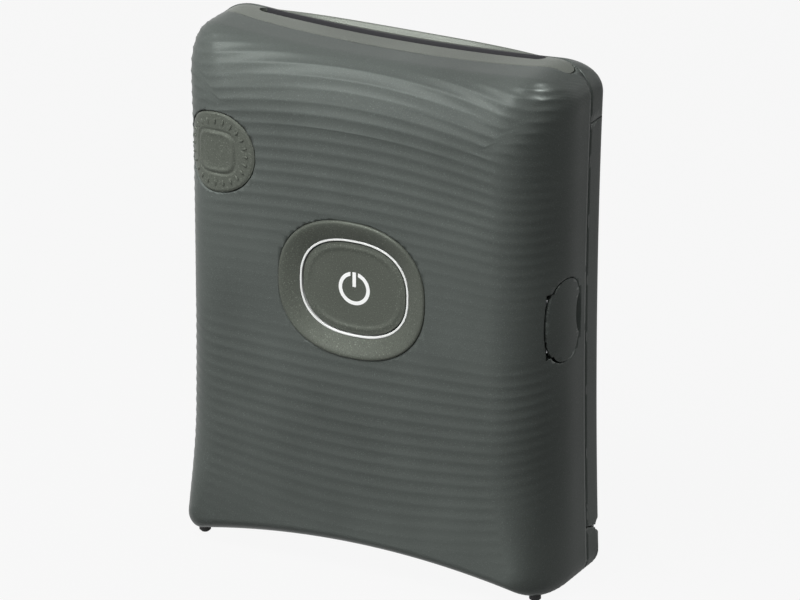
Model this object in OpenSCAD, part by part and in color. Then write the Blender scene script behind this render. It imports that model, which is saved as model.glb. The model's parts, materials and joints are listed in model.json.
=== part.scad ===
// Compact photo printer that prints on instant film sheets.
// Frame: +Z up, front face towards -Y, origin on the ground under the middle of the body.

/* [Body] */
// Overall width
body_w = 97.5; // [92:0.5:110]
// Overall depth, from the power ring's face to the film door's back
body_d = 34; // [33:0.5:40]
// Overall height, feet included
body_h = 127.5; // [126:0.5:140]
// Wall thickness of the casing
wall = 2; // [1.8:0.1:2.2]
// Gap along every seam between casing pieces
seam_gap = 0.3; // [0.2:0.05:0.4]
// Depth of the rear covers and the film door, from the back face to the seam
rear_d = 8.2; // [7.8:0.1:8.6]
// How far the long sides bow in at mid height, as a part of the half width
side_bow = 0.021; // [0:0.001:0.03]
// How far the top edge sags at mid width
top_sag = 1.5; // [0.5:0.1:2]
// How far the bottom edge arches up at mid width
bottom_arch = 4.7; // [3:0.1:5]

/* [Body rounding] */
// Radius of the two upper corners, seen from the front
corner_top = 9.5; // [8:0.5:11]
// Radius of the two lower corners, seen from the front
corner_bottom = 5; // [4:0.1:6]
// How much larger the upper corners' radius grows towards the front face
front_round_top = 8.5; // [8:0.5:11]
// How much larger the lower corners' radius grows towards the front face
front_round_bottom = 6; // [5:0.5:8]
// Width of the round-over beside the front face
front_side = 12.6; // [10:0.2:13]
// Depth of that round-over
front_side_d = 19.5; // [16:0.5:20]
// Height of the round-over above the front face
front_top = 15.5; // [13:0.5:16]
// Depth of that round-over
front_top_d = 11; // [9:0.5:13]
// Height of the round-over below the front face
front_bottom = 5.6; // [4.5:0.1:6.5]
// Depth of that round-over
front_bottom_d = 14; // [12:0.5:15]
// Width of the side round-over where it reaches the lower corners
front_corner = 7; // [6:0.2:8]
// Height over which the side round-over narrows to the lower corners
corner_reach = 32; // [25:1:40]
// Width of the round-over beside the back face
back_side = 3.5; // [3:0.1:4]
// Depth of that round-over
back_side_d = 2.6; // [2.4:0.1:3]
// Height of the round-over above the back face
back_top = 6; // [4:0.5:6.5]
// Depth of that round-over
back_top_d = 11; // [8:0.5:12]
// Height of the round-over below the back face
back_bottom = 4; // [3.5:0.1:4.5]
// Depth of that round-over
back_bottom_d = 5.5; // [5:0.1:6]

/* [Power button] */
// Height of the power button's centre above the body's middle
ring_up = 7.9; // [6:0.05:9]
// Width of the trim ring
ring_w = 38.2; // [37:0.1:40]
// Height of the trim ring
ring_h = 33.7; // [32.5:0.1:35]
// How square the ring is: 2 is an ellipse, and larger powers fill the corners
ring_power = 2.3; // [2.1:0.05:2.8]
// Width of the ring's band, which slopes in to the button
ring_band = 4.9; // [4.7:0.1:5.2]
// How far the trim ring stands out of the front face
ring_proud = 0.4; // [0.2:0.05:0.5]
// Visible width of the light guide inside the ring
guide_band = 0.5; // [0.45:0.05:0.6]
// Gap round a button in its opening
button_gap = 0.3; // [0.25:0.05:0.4]
// Travel of the power button
power_travel = 0.5; // [0.3:0.05:0.6]

/* [Function button] */
// Distance of the function button's centre from the body's left side
function_side = 13.95; // [12.75:0.05:14.75]
// Distance of the function button's centre from the body's top
function_drop = 27.5; // [26.5:0.5:29.5]
// Diameter of its disc
function_dia = 19.6; // [18:0.2:20]
// Angle by which it faces to the left
function_tilt = 17; // [15:0.5:19]
// How far its face lies below the casing's surface
function_sink = 0.1; // [0.05:0.05:0.2]
// Travel of the function button
function_travel = 0.6; // [0.4:0.05:0.7]
// Number of raised ticks round its face
tick_count = 24; // [12:1:30]

/* [Port cover] */
// Height of the port cover's centre above the body's middle
port_up = 3.85; // [1.85:0.05:5.85]
// Distance from the seam to the port cover's centre
port_seam = 9.6; // [9.4:0.1:9.8]
// Width of the port cover
port_w = 13.4; // [13:0.1:14]
// Height of the port cover
port_h = 20; // [19:0.2:21]
// Thickness of the port cover
port_t = 1.5; // [1.4:0.05:1.6]
// Diameter of the port cover's hinge pin
port_pin_dia = 0.9; // [0.8:0.05:1]

/* [Film exit] */
// Distance from each side of the body to the top panel's end
panel_end = 3.75; // [3.25:0.05:4.75]
// Width of the top panel
panel_w = 11.2; // [10.8:0.1:11.6]
// Distance from the back face to the panel's middle
panel_back = 10.8; // [10.6:0.1:11]
// Thickness of the top panel
panel_t = 1.1; // [1:0.05:1.2]
// Distance from each end of the panel to the slot's end
slot_end = 8; // [7:0.25:8.5]
// Width of the film slot
slot_w = 1.8; // [1.6:0.1:2]
// Distance from the back face to the film's path
film_back = 7.5; // [7.3:0.1:7.6]

/* [Film chamber] */
// Distance from each side of the body to the film pack's space
film_side = 9.25; // [9.25:0.05:10.25]
// Distance from the body's top down to the film pack's space
film_drop = 17; // [17:0.1:19]
// Height at which the film pack's space starts
film_z = 14.5; // [14:0.1:14.8]
// Distance from the chamber's floor to its rear rim
film_d = 7; // [6.6:0.1:7]
// Wall of the chamber frame
frame_wall = 1.5; // [1.3:0.1:1.6]

/* [Film door] */
// Height of the hinge line
hinge_z = 11.2; // [11:0.1:11.4]
// Radius of the hinge barrel
barrel_r = 1.5; // [1.4:0.05:1.5]
// Diameter of the hinge pin
hinge_pin_dia = 1.4; // [1.2:0.1:1.5]
// Distance from the body's top down to the film door's upper edge
door_drop = 14.7; // [14.5:0.1:15.5]
// Travel of the door latch
latch_travel = 2.2; // [1.8:0.1:2.2]

/* [Film drive] */
// Distance from the body's top down to both rollers' axes
roller_drop = 10.5; // [10.3:0.1:10.7]
// Radius of the drive roller's sleeve
drive_r = 3.2; // [3:0.05:3.3]
// Radius of the pinch roller
pinch_r = 2.4; // [2.2:0.05:2.4]
// Gap between the rollers, for the film
nip_gap = 0.3; // [0.25:0.01:0.35]
// Thickness of the gears
gear_t = 1; // [0.9:0.1:1.2]
// Radius of the motor, as a part of the room in front of the film chamber
motor_part = 0.271; // [0.26:0.001:0.275]
// Length of the motor
motor_l = 20; // [16:0.5:24]
// Running clearance of each shaft in its bush, on the radius
running_gap = 0.05; // [0.03:0.01:0.08]
// Travel of the film claw
claw_travel = 8; // [6:0.5:9]

/* [Feet] */
// Height of the feet below the body's lowest edge
foot_h = 0.8; // [0.7:0.05:1]
// Radius of each foot
foot_r = 1.4; // [1.2:0.1:1.8]
// Distance of each foot from the body's side
foot_side = 5; // [4.5:0.1:5.5]
// Distance of the front feet from the front face
foot_front = 8.4; // [8:0.2:9]
// Distance of the rear feet from the back face
foot_back = 4.4; // [4.2:0.1:4.6]

/* [Hidden] */

$fn = 48;
eps = 0.01;
far = 200;
case_grey = [0.34, 0.36, 0.35];
trim_grey = [0.40, 0.40, 0.37];
panel_grey = [0.55, 0.57, 0.55];
dark_grey = [0.12, 0.12, 0.13];
steel = [0.72, 0.73, 0.75];
board_green = [0.05, 0.28, 0.16];

// Body places that follow from the sizes above
front_y = ring_proud - body_d / 2;
back_y = body_d / 2;
seam_y = back_y - rear_d;
half_w = body_w / 2;
half_h = (body_h - foot_h) / 2;
mid_z = foot_h + half_h;
inner_front = front_y + wall;
inner_back = back_y - wall;
rear_y0 = seam_y + seam_gap / 2;
front_y1 = seam_y - seam_gap / 2;
ring_z = mid_z + ring_up;
function_x = half_w - function_side;
function_z = body_h - function_drop;
port_y = seam_y - port_seam;
port_z = mid_z + port_up;
panel_l = body_w - 2 * panel_end;
panel_y = back_y - panel_back;
slot_l = panel_l - 2 * slot_end;
film_y = back_y - film_back;
film_top = body_h - film_drop;
door_top = body_h - door_drop;
roller_z = body_h - roller_drop;
foot_x = half_w - foot_side;

// Half the widths of the film pack's space, of the frame round it and of the frame's flange
chamber_x = half_w - film_side;
chamber_out = chamber_x + frame_wall;
flange_out = half_w - 4.55;

// Points round each ring of the body's skin, and rings along each round-over
corner_steps = 7;
edge_steps = 8;
front_steps = 9;
back_steps = 5;
corner_signs = [[1, 1], [-1, 1], [-1, -1], [1, -1]];

function mix(a, b, t) = a + (b - a) * t;

// A value that changes from the sides to the top or the bottom with the outline's normal
function by_normal(n, side, top, bottom) = side * n[0] * n[0] + (n[1] > 0 ? top : bottom) * n[1] * n[1];

function arc_point(i, a, r) = let (c = corner_signs[i])
    [c[0] * (half_w - r) + r * cos(90 * i + a), c[1] * (half_h - r) + r * sin(90 * i + a)];

// Rounded rectangle as pairs of point and normal, for upper and lower corner radii
function outline(rt, rb) = [for (i = [0:3]) each concat(
    [for (k = [0:corner_steps]) let (a = 90 * k / corner_steps)
        [arc_point(i, a, i < 2 ? rt : rb), [cos(90 * i + a), sin(90 * i + a)]]],
    let (p = arc_point(i, 90, i < 2 ? rt : rb),
        q = arc_point((i + 1) % 4, 0, i == 0 || i == 3 ? rt : rb))
    [for (k = [1:edge_steps - 1])
        [mix(p, q, k / edge_steps), [cos(90 * i + 90), sin(90 * i + 90)]]])];

// Share of an edge's bow that is left at a distance from its middle, none where the corner starts
function bow_left(v, half, r) = 1 - pow(v / (half - r), 2);

// Bows the sides in, lets the top sag and arches the bottom
function bowed(x, z) = let (
        low = z < 0,
        in = side_bow * bow_left(z, half_h, corner_bottom),
        sag = (low ? bottom_arch : top_sag) * bow_left(x, half_w, low ? corner_bottom : corner_top))
    [x * (1 - max(in, 0)), z - sag * z / half_h];

// Width of the round-over beside the front face at a height from the middle
function side_round(z) = let (s = min(max(-(z + half_h - corner_reach) / corner_reach, 0), 1))
    mix(front_side, front_corner, s * s * (3 - 2 * s));

// One ring of the skin, t mm inside the surface; ph runs over a round-over from 0 to 90 degrees
function front_ring(ph, t) = let (grow = 1 - sin(ph))
    [for (o = outline(corner_top + front_round_top * grow, corner_bottom + front_round_bottom * grow))
        let (inset = max(by_normal(o[1], side_round(o[0][1]), front_top, front_bottom) - t, eps) * grow + t,
            deep = max(by_normal(o[1], front_side_d, front_top_d, front_bottom_d) - t, eps),
            p = bowed(o[0][0] - o[1][0] * inset, o[0][1] - o[1][1] * inset))
        [p[0], front_y + t + deep * (1 - cos(ph)), mid_z + p[1]]];

function back_ring(ph, t) = let (grow = 1 - sin(ph))
    [for (o = outline(corner_top, corner_bottom))
        let (inset = max(by_normal(o[1], back_side, back_top, back_bottom) - t, eps) * grow + t,
            deep = max(by_normal(o[1], back_side_d, back_top_d, back_bottom_d) - t, eps),
            p = bowed(o[0][0] - o[1][0] * inset, o[0][1] - o[1][1] * inset))
        [p[0], back_y - t - deep * (1 - cos(ph)), mid_z + p[1]]];

// Solid inside the body's skin, t mm below the surface
module skin(t) {
    rings = concat(
        [for (k = [0:front_steps]) front_ring(90 * k / front_steps, t)],
        [for (k = [back_steps:-1:0]) back_ring(90 * k / back_steps, t)]);
    n = len(rings[0]);
    last = len(rings) - 1;
    polyhedron(
        points = [for (r = rings) each r],
        faces = concat(
            [[for (j = [n - 1:-1:0]) j], [for (j = [0:n - 1]) last * n + j]],
            [for (i = [0:last - 1], j = [0:n - 1]) let (b = (j + 1) % n)
                [i * n + j, i * n + b, (i + 1) * n + b]],
            [for (i = [0:last - 1], j = [0:n - 1]) let (b = (j + 1) % n)
                [i * n + j, (i + 1) * n + b, (i + 1) * n + j]]),
        convexity = 4);
}

// Half width of the body's side at a depth and a height, t mm below the surface
function side_x(y, z, t) = let (run = (y - front_y) / front_side_d, c = 1 - min(max(run, 0), 1),
        side = half_w - t - (side_round(z - mid_z) - t) * (1 - sqrt(1 - c * c)))
    bowed(side, z - mid_z)[0];

module box(x, y, z) translate([x[0], y[0], z[0]]) cube([x[1] - x[0], y[1] - y[0], z[1] - z[0]]);

// Extrudes a front-view outline, drawn in x and z, from depth y0 to depth y1
module through_y(y0, y1) translate([0, y1, 0]) rotate([90, 0, 0]) linear_extrude(y1 - y0) children();

// Extrudes a side-view outline, drawn in y and z, from x0 to x1
module through_x(x0, x1) translate([x0, 0, 0]) rotate([90, 0, 90]) linear_extrude(x1 - x0) children();

module rod_x(x0, x1, r) translate([x0, 0, 0]) rotate([0, 90, 0]) cylinder(r = r, h = x1 - x0);

module rod_y(y0, y1, r) translate([0, y0, 0]) rotate([-90, 0, 0]) cylinder(r = r, h = y1 - y0);

module mirrored() {
    children();
    mirror([1, 0, 0]) children();
}

// Rounded square whose sides bulge, as an outline
module squircle(w, h, power = 3.4) polygon([for (a = [0:5:355])
    let (c = cos(a), s = sin(a))
    [w / 2 * sign(c) * pow(abs(c), 2 / power), h / 2 * sign(s) * pow(abs(s), 2 / power)]]);

// Bar with round ends between two points of the x-z plane
module stadium(p, q, y0, y1, r) hull() {
    translate([p[0], 0, p[1]]) rod_y(y0, y1, r, $fn = 24);
    translate([q[0], 0, q[1]]) rod_y(y0, y1, r, $fn = 24);
}

/* ---- Openings in the casing ---- */

ring_seat = inner_front - 0.4;
// Ledge behind the ring, which carries it where the wall is thin
ledge_t = 0.8;

// Outline of the ring, inset by a distance
module ring_outline(inset) squircle(ring_w - 2 * inset, ring_h - 2 * inset, ring_power);

module power_opening() translate([0, 0, ring_z]) {
    through_y(front_y - 2, ring_seat) ring_outline(-0.1);
    through_y(front_y - 2, inner_front + ledge_t + 1) ring_outline(hole_in);
}

hole_in = ring_band - 1;

// Frame of the function button: local z points out of the casing
function_y = front_y + sin(function_tilt) * function_dia / 2 - 0.15;
function_wall = 1.4;
function_disc_t = 2.4;
function_floor = function_disc_t + function_travel + 0.4;

module at_function() translate([-function_x, function_y, function_z])
    rotate([0, 0, -function_tilt]) rotate([90, 0, 0]) children();

module port_outline(grow) translate([port_y, port_z]) {
    squircle(port_w + 2 * grow, port_h + 2 * grow, port_power);
}

port_floor_x = half_w - 6.15;
port_pin_in = 1.5;
port_pin_y = port_y - port_w / 2 + port_pin_in;
port_pin_x = side_x(port_pin_y, port_z, port_t);
port_knuckle = 5;
port_power = 2.4;
port_gap = 0.3;
port_wall = 1.8;
// Depth of the fingernail notch in the cover's rear edge
port_notch = 2.1;
// The cover's inner half is smaller, so that its ends turn clear of the casing
port_step = 0.7;

// How far the cover's front edge lies in front of its pin, at a height from its middle
function port_lead(z) = let (rise = pow(min(abs(z) / (port_h / 2), 1), port_power))
    port_w / 2 * pow(max(1 - rise, 0), 1 / port_power) - (port_w / 2 - port_pin_in);

// Room in which the cover's front edge turns, over the height where it lies near the pin
port_swing_h = 0.4 * port_h;
port_slope = 0.36;

// Radius that the cover's ends keep clear of, so that their edges turn out over the casing
function port_end_r(z) = let (d = max(-port_lead(z) - port_gap, 0))
    norm([port_t + port_slope * d, d]) + 0.12;

module port_ends() translate([port_pin_x, port_pin_y, port_z]) for (m = [0, 1]) mirror([0, 0, m])
    rotate_extrude() polygon(concat([[0, port_swing_h - 0.3]],
        [for (k = [0:8]) let (z = mix(port_swing_h - 0.3, port_h / 2 + 0.1, k / 8)) [port_end_r(z), z]],
        [[0, port_h / 2 + 0.1]]));

module port_swing() translate([port_pin_x, port_pin_y, port_z]) rotate_extrude()
    polygon(concat([[0, -port_swing_h]],
        [for (k = [-8:8]) let (z = port_swing_h * k / 8)
            [norm([max(port_lead(z), 0), port_t]) + port_gap / 2, z]],
        [[0, port_swing_h]]));

module top_slot(l, w) translate([0, film_y]) {
    square([l - w, w], center = true);
    for (x = [-1, 1]) translate([x * (l - w) / 2, 0]) circle(d = w);
}

module panel_outline(grow) translate([0, panel_y]) squircle(panel_l + 2 * grow, panel_w + 2 * grow, 3.2);

module foot_place() for (x = [-1, 1], y = [front_y + foot_front, back_y - foot_back])
    translate([x * foot_x, y, 0]) children();

foot_top = foot_h + 2.4;

module foot_pockets() foot_place() translate([0, 0, -1]) cylinder(r = foot_r + 0.05, h = foot_top + 1.05);

/* ---- Casing ---- */

boss_r = 2.1;
screw_r = 0.8;
ear_x = half_w - 5.45;
plate_bottom = film_top - 19.5;
ear_z = [film_z + 9.5, plate_bottom - 3];
board_boss_x = ring_w / 2 - 0.75;
frame_front = seam_y - seam_gap / 2 - film_d - frame_wall;
front_room = frame_front - inner_front;
flange_y = front_y1 - frame_wall;

// Places of the four screws that hold the chamber frame, as x and z
case_screw_places = [for (x = [-1, 1], p = [[ear_x, ear_z[0]], [ear_x, ear_z[1]]]) [x * p[0], p[1]]];

module front_bosses() intersection() {
    skin(wall / 2);
    union() {
        for (p = case_screw_places) difference() {
            stadium(p, p + [sign(p[0]) * 2, 0], front_y, flange_y, boss_r);
            translate([p[0], 0, p[1]]) rod_y(-3, far, screw_r);
        }
        for (x = [-1, 1]) difference() {
            stadium([x * board_boss_x, ring_z], [x * (board_boss_x + 1), ring_z],
                inner_front - 0.2, switch_y, 1.9);
            translate([x * board_boss_x, 0, ring_z]) rod_y(inner_front + 0.6, switch_y + 1, 0.6);
        }
        translate([0, 0, ring_z]) through_y(inner_front - 0.1, inner_front + ledge_t) ring_outline(-1.5);
    }
}

// Stiffening ribs along the inside of the front wall
rib_r = 0.6;
front_rib_x = half_w - 18.75;
front_rib_l = 22;

module front_ribs() for (x = [-front_rib_x, front_rib_x], z = [film_z - 0.5, ring_z - 14])
    stadium([x, z], [x, z + front_rib_l], inner_front - 0.5, inner_front + 0.5, rib_r);

module front_shell() color(case_grey) difference() {
    union() {
        difference() {
            intersection() {
                skin(0);
                box([-far, far], [-far, front_y1], [-far, far]);
            }
            skin(wall);
        }
        front_bosses();
        front_ribs();
        intersection() {
            skin(wall / 2);
            union() {
                at_function() translate([0, 0, -function_floor - function_wall])
                    cylinder(d = function_dia + 2 * button_gap + 2 * function_wall,
                        h = function_floor + function_wall + 3);
                intersection() {
                    through_x(port_floor_x, far) port_outline(port_wall);
                    box([0, far], [-far, flange_y], [0, far]);
                }
            }
        }
    }
    power_opening();
    at_function() {
        translate([0, 0, -function_floor]) cylinder(d = function_dia + 2 * button_gap, h = 12);
        translate([0, 0, -9]) cylinder(r = 1.6, h = 9);
    }
    difference() {
        through_x(port_floor_x, far) port_outline(port_gap);
        skin(port_t + port_gap);
    }
    port_swing();
    socket_opening(0.3);
    reset_opening();
    translate([0, 0, mid_z]) difference() {
        linear_extrude(far) panel_outline(0.15);
        translate([0, 0, -mid_z]) skin(panel_t + 0.1);
    }
    translate([0, 0, mid_z]) linear_extrude(far) top_slot(slot_l + 0.8, slot_w + 0.6);
    foot_pockets();
}

module rear_ribs(side_list, z0, z1) for (s = [-1, 1], d = side_list)
    stadium([s * (half_w - d), z0], [s * (half_w - d), z1], inner_back - 0.7, inner_back + 0.5, rib_r);

cover_bottom = door_top + 0.4;

module top_rear_cover() color(case_grey) difference() {
    union() {
        difference() {
            intersection() {
                skin(0);
                box([-far, far], [rear_y0, far], [cover_bottom, far]);
            }
            skin(wall);
        }
        intersection() {
            skin(wall / 2);
            rear_ribs([4.75, 6.25, 7.75, 36.75], cover_bottom + 1, cover_bottom + 2.4);
        }
    }
    translate([0, 0, mid_z]) difference() {
        linear_extrude(far) panel_outline(0.15);
        translate([0, 0, -mid_z]) skin(panel_t + 0.1);
    }
    translate([0, 0, mid_z]) linear_extrude(far) top_slot(slot_l + 0.8, slot_w + 0.6);
}

// The hinge line runs close to the back face, so that the door's edge turns clear of the cover
hinge_y = back_y - 0.2 - barrel_r;
low_cover_top = hinge_z - (back_y - hinge_y) - 0.3;
hinge_end = half_w - 18.75;
barrel_gap = 0.3;
edge_slope = tan(15);
edge_start = hinge_z + (hinge_y - rear_y0) * edge_slope;

// Side view of what lies above the door's lower edge: straight towards the hinge, then round it
module above_edge(top) polygon(concat(
    [[back_y + 1, top], [rear_y0, top], [rear_y0, edge_start]],
    [for (a = [163:-7:23]) [hinge_y, hinge_z] + (barrel_r + barrel_gap) * [cos(a), sin(a)]],
    [[back_y + 1, hinge_z + 0.6]]));

module bottom_rear_cover() color(case_grey) difference() {
    union() {
        difference() {
            intersection() {
                skin(0);
                through_x(-far, far) polygon([[rear_y0, -1], [back_y + 1, -1],
                    [back_y + 1, low_cover_top], [hinge_y - 1, low_cover_top],
                    [hinge_y - barrel_r - 0.6, hinge_z],
                    [rear_y0, edge_start - seam_gap]]);
            }
            skin(wall);
        }
        intersection() {
            skin(wall / 2);
            union() {
                mirrored() translate([0, hinge_y, hinge_z]) rod_x(hinge_end + 0.5, far, barrel_r);
                mirrored() box([hinge_end + 0.5, far], [hinge_y - barrel_r, inner_back + 0.5],
                    [low_cover_top - 2.5, hinge_z]);
                rear_ribs([6.75, 12.75, 15.75], low_cover_top - 4, low_cover_top - 1);
                for (x = hinge_end * [-2, 2] / 3, z = low_cover_top - 1.2)
                    stadium([x - 1, z], [x + 1, z], inner_back - 1, inner_back + 0.5, rib_r);
            }
        }
    }
    foot_pockets();
}

lip_r = 0.45;
lip_steps = 12;
lip_l = slot_l - 16;

// Height of the panel's surface over the width, at the slot's rear edge
function lip_z(x) = let (c = 1 - (back_y - film_y - slot_w / 2 - lip_r) / back_top_d,
        z = half_h - back_top * (1 - sqrt(1 - c * c)))
    mid_z + bowed(x, z)[1] - lip_r * 0.4;

module top_panel() color(panel_grey) difference() {
    union() {
        intersection() {
            difference() {
                skin(0);
                skin(panel_t);
            }
            translate([0, 0, mid_z]) linear_extrude(far) panel_outline(0);
        }
        for (k = [0:lip_steps - 1]) hull() for (s = [0, 1])
            let (x = lip_l * ((k + s) / lip_steps - 0.5))
            translate([x, film_y + slot_w / 2 + lip_r, lip_z(x)]) sphere(r = lip_r, $fn = 16);
    }
    translate([0, 0, mid_z]) linear_extrude(far) top_slot(slot_l, slot_w);
}

// Felt strips inside the slot, one on each side of the film's path
felt_z = lip_z(0) - panel_t - wall - 0.4;

module slot_felt() color(dark_grey) for (s = [-1, 1])
    translate([0, film_y + s * (slot_w / 2 + 0.25), felt_z])
    box([-slot_l / 2 + 2, slot_l / 2 - 2], [-0.35, 0.35], [-1.5, 1.2]);

module feet() color(dark_grey) foot_place() rotate_extrude()
    polygon([[0, 0], [foot_r - 0.5, 0], [foot_r, 0.5], [foot_r, foot_top], [0, foot_top]]);

/* ---- Power button ---- */

ring_front = -body_d / 2;
ring_edge = 0.5;
funnel_y = ring_seat - 0.3;
funnel_in = ring_band + 0.1;
funnel_over = 0.2;

// The ring's band slopes in from its rim towards the button
module ring_funnel() translate([0, funnel_y, 0]) rotate([90, 0, 0])
    linear_extrude(funnel_y - ring_front + funnel_over, slices = 1,
        scale = [for (s = [ring_w, ring_h]) (s - 2 * ring_edge) / (s - 2 * funnel_in)])
    ring_outline(funnel_in);

module power_ring() color(trim_grey) translate([0, 0, ring_z]) difference() {
    union() {
        through_y(ring_front + ring_edge, ring_seat) ring_outline(0);
        through_y(ring_front, ring_seat) ring_outline(ring_edge);
    }
    ring_funnel();
    through_y(ring_front - 1, ring_seat + 1) ring_outline(ring_band);
}

guide_in = ring_band + 0.05;
cap_in = guide_in + guide_band + button_gap;
guide_back = inner_front + ledge_t + 0.2;

module light_guide() color("white") translate([0, 0, ring_z]) difference() {
    union() {
        through_y(funnel_y + 0.05, guide_back) ring_outline(guide_in);
        through_y(ring_seat + 0.05, guide_back) ring_outline(hole_in + 0.1);
    }
    through_y(ring_front - 1, guide_back + 1) ring_outline(cap_in - button_gap);
}

cap_front = funnel_y + 0.05;
dish_in = cap_in + 1.7;
dish_deep = 0.25;
flange_front = guide_back + 0.2;
flange_t = 1;
plunger_end = flange_front + flange_t + 0.8;
symbol_t = 0.3;
symbol_r = 3.6;
symbol_line = 0.9;

module symbol_outline(grow) {
    difference() {
        circle(r = symbol_r + symbol_line / 2 + grow);
        circle(r = symbol_r - symbol_line / 2 - grow);
        translate([-symbol_line * 1.1 + grow, 0]) square([symbol_line * 2.2 - 2 * grow, 2 * symbol_r]);
    }
    translate([-symbol_line / 2 - grow, 0.4 - grow]) square([symbol_line + 2 * grow, symbol_r + 2 * grow]);
}

module power_button() color(trim_grey) translate([0, 0, ring_z]) difference() {
    union() {
        through_y(cap_front, flange_front + eps) ring_outline(cap_in);
        through_y(flange_front, flange_front + flange_t) ring_outline(hole_in + 0.5);
        rod_y(flange_front, plunger_end, 3);
    }
    through_y(cap_front - 1, cap_front + dish_deep) ring_outline(dish_in);
    through_y(cap_front, cap_front + dish_deep + symbol_t) symbol_outline(0.02);
}

module power_symbol() color("white") translate([0, 0, ring_z])
    through_y(cap_front + dish_deep - 0.05, cap_front + dish_deep + symbol_t) symbol_outline(0);

// The domes lie just behind the pressed buttons
dome_gap = 0.1;
dome_t = 1.2;
dome_y = plunger_end + power_travel + dome_gap;
switch_y = dome_y + dome_t;
switch_t = 0.8;
switch_x = board_boss_x + 3;
switch_half_h = ring_h / 2 - 4.5;

module power_dome() color(dark_grey) translate([0, dome_y, ring_z]) rotate([-90, 0, 0])
    rotate_extrude() polygon([[0, 0], [2.4, 0], [2.4, 0.3], [3.6, dome_t - 0.5], [3.6, dome_t],
        [2.6, dome_t], [2.6, dome_t - 0.4], [0, dome_t - 0.4]]);

module switch_board() color(board_green) translate([0, 0, ring_z]) difference() {
    box([-switch_x, switch_x], [switch_y, switch_y + switch_t], [-switch_half_h, switch_half_h]);
    for (x = [-1, 1]) translate([x * board_boss_x, 0, 0]) rod_y(switch_y - 1, switch_y + 2, 0.9);
}

/* ---- Function button ---- */

function_pad = 10.4;
function_groove = 0.35;
tick_ring = function_dia / 2 - 2.2;
tick_r = 0.32;
tick_proud = 0.15;

// The button's face follows the casing's surface
module function_button() color(trim_grey) difference() {
    union() {
        intersection() {
            at_function() translate([0, 0, -function_disc_t]) cylinder(d = function_dia, h = 9);
            skin(function_sink);
        }
        intersection() {
            at_function() for (i = [0:tick_count - 1]) rotate(i * 360 / tick_count)
                translate([tick_ring, 0, -1]) cylinder(r = tick_r, h = 8, $fn = 16);
            skin(function_sink - tick_proud);
        }
    }
    difference() {
        at_function() linear_extrude(9) difference() {
            squircle(function_pad + 2 * function_groove, function_pad + 2 * function_groove);
            squircle(function_pad, function_pad);
        }
        skin(function_sink + 0.15);
    }
}

function_dome_t = function_floor - function_disc_t - function_travel - dome_gap;

module function_dome() color(dark_grey) at_function() translate([0, 0, -function_floor])
    rotate_extrude() polygon([[1.8, 0], [3.4, 0], [3, function_dome_t], [1.8, function_dome_t]]);

module function_switch() color(dark_grey) at_function()
    translate([0, 0, -function_floor - function_wall - 1]) cube([4, 4, 2], center = true);

/* ---- Port cover, socket and reset button ---- */

module port_cover() color(case_grey) difference() {
    union() {
        for (half = [[0, port_t / 2, 0], [port_t / 2 - eps, port_t, -port_step]]) intersection() {
            difference() {
                skin(half[0]);
                skin(half[1]);
            }
            through_x(0, far) port_outline(half[2]);
        }
        intersection() {
            skin(0.2);
            union() {
                for (k = [0:9]) hull() for (z = [k, k + 1])
                    translate([port_pin_x, port_pin_y, port_z - port_knuckle + z * port_knuckle / 5])
                    cylinder(r = 1, h = eps, $fn = 32);
                through_x(port_pin_x - 0.3, far) intersection() {
                    port_outline(0);
                    translate([port_pin_y - 0.3, port_z - port_knuckle]) square([1.7, 2 * port_knuckle]);
                }
            }
        }
    }
    port_ends();
    through_x(port_floor_x, far) translate([port_y + port_w / 2, port_z])
        squircle(2 * port_notch, port_h / 2, 2);
    translate([port_pin_x, port_pin_y, port_z - far])
        cylinder(d = port_pin_dia + 2 * running_gap, h = 2 * far);
}

module port_hinge_pin() color(steel) translate([port_pin_x, port_pin_y, port_z - port_knuckle - 1.5])
    cylinder(d = port_pin_dia, h = 2 * port_knuckle + 3);

board_t = 1;
board_y = frame_front - 3.75 - board_t;
socket_w = 8.94;
socket_t = 3.26;
socket_l = 7.2;
socket_y = board_y + board_t + socket_t / 2;
socket_z = port_z + 2.2;
socket_x = port_floor_x + 0.6;

module socket_outline(grow) translate([socket_y, socket_z]) {
    square([socket_t + 2 * grow, socket_w - socket_t], center = true);
    for (z = [-1, 1]) translate([0, z * (socket_w - socket_t) / 2]) circle(d = socket_t + 2 * grow);
}

module socket_opening(grow) through_x(port_floor_x - 1, far / 4) intersection() {
    socket_outline(grow);
    port_outline(0);
}

module usb_socket() color(steel) difference() {
    through_x(socket_x - socket_l, socket_x) socket_outline(0);
    through_x(socket_x - socket_l + 1, socket_x + 1) socket_outline(-0.35);
}

module socket_tongue() color(dark_grey) translate([0, socket_y, socket_z])
    box([socket_x - socket_l + 1, socket_x - 0.8], [-0.35, 0.35], [-3.3, 3.3]);

reset_z = port_z - 6.4;
reset_r = 0.9;
reset_travel = 0.4;
reset_back = port_floor_x - 0.3;

module reset_opening() translate([0, socket_y, reset_z]) rod_x(port_floor_x - 1, far / 4, reset_r + 0.2);

module reset_button() color(trim_grey) translate([0, socket_y, reset_z]) {
    rod_x(reset_back - 1.4, port_floor_x + 1.4, reset_r);
    rod_x(reset_back - 0.8, reset_back, reset_r + 0.7);
}

module reset_switch() color(dark_grey) translate([0, board_y + board_t, reset_z])
    box([reset_back - 6, reset_back - 1.6 - reset_travel], [0, 3], [-2, 2]);

/* ---- Electronics ---- */

board_x = half_w - 10.75;
board_z = [film_z + 4.5, plate_bottom - 3];
standoff_x = board_x - 3;
standoff_z = [board_z[0] + 5, board_z[1] - 5];

module main_board() color(board_green) difference() {
    union() {
        box([-board_x, board_x], [board_y, board_y + board_t], board_z);
        box([0, port_floor_x - 0.8], [board_y, board_y + board_t], [reset_z - 3, socket_z + 5]);
    }
    for (x = [-1, 1], z = standoff_z) translate([x * standoff_x, 0, z])
        rod_y(board_y - 1, board_y + 2, screw_r + 0.2);
}

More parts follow.
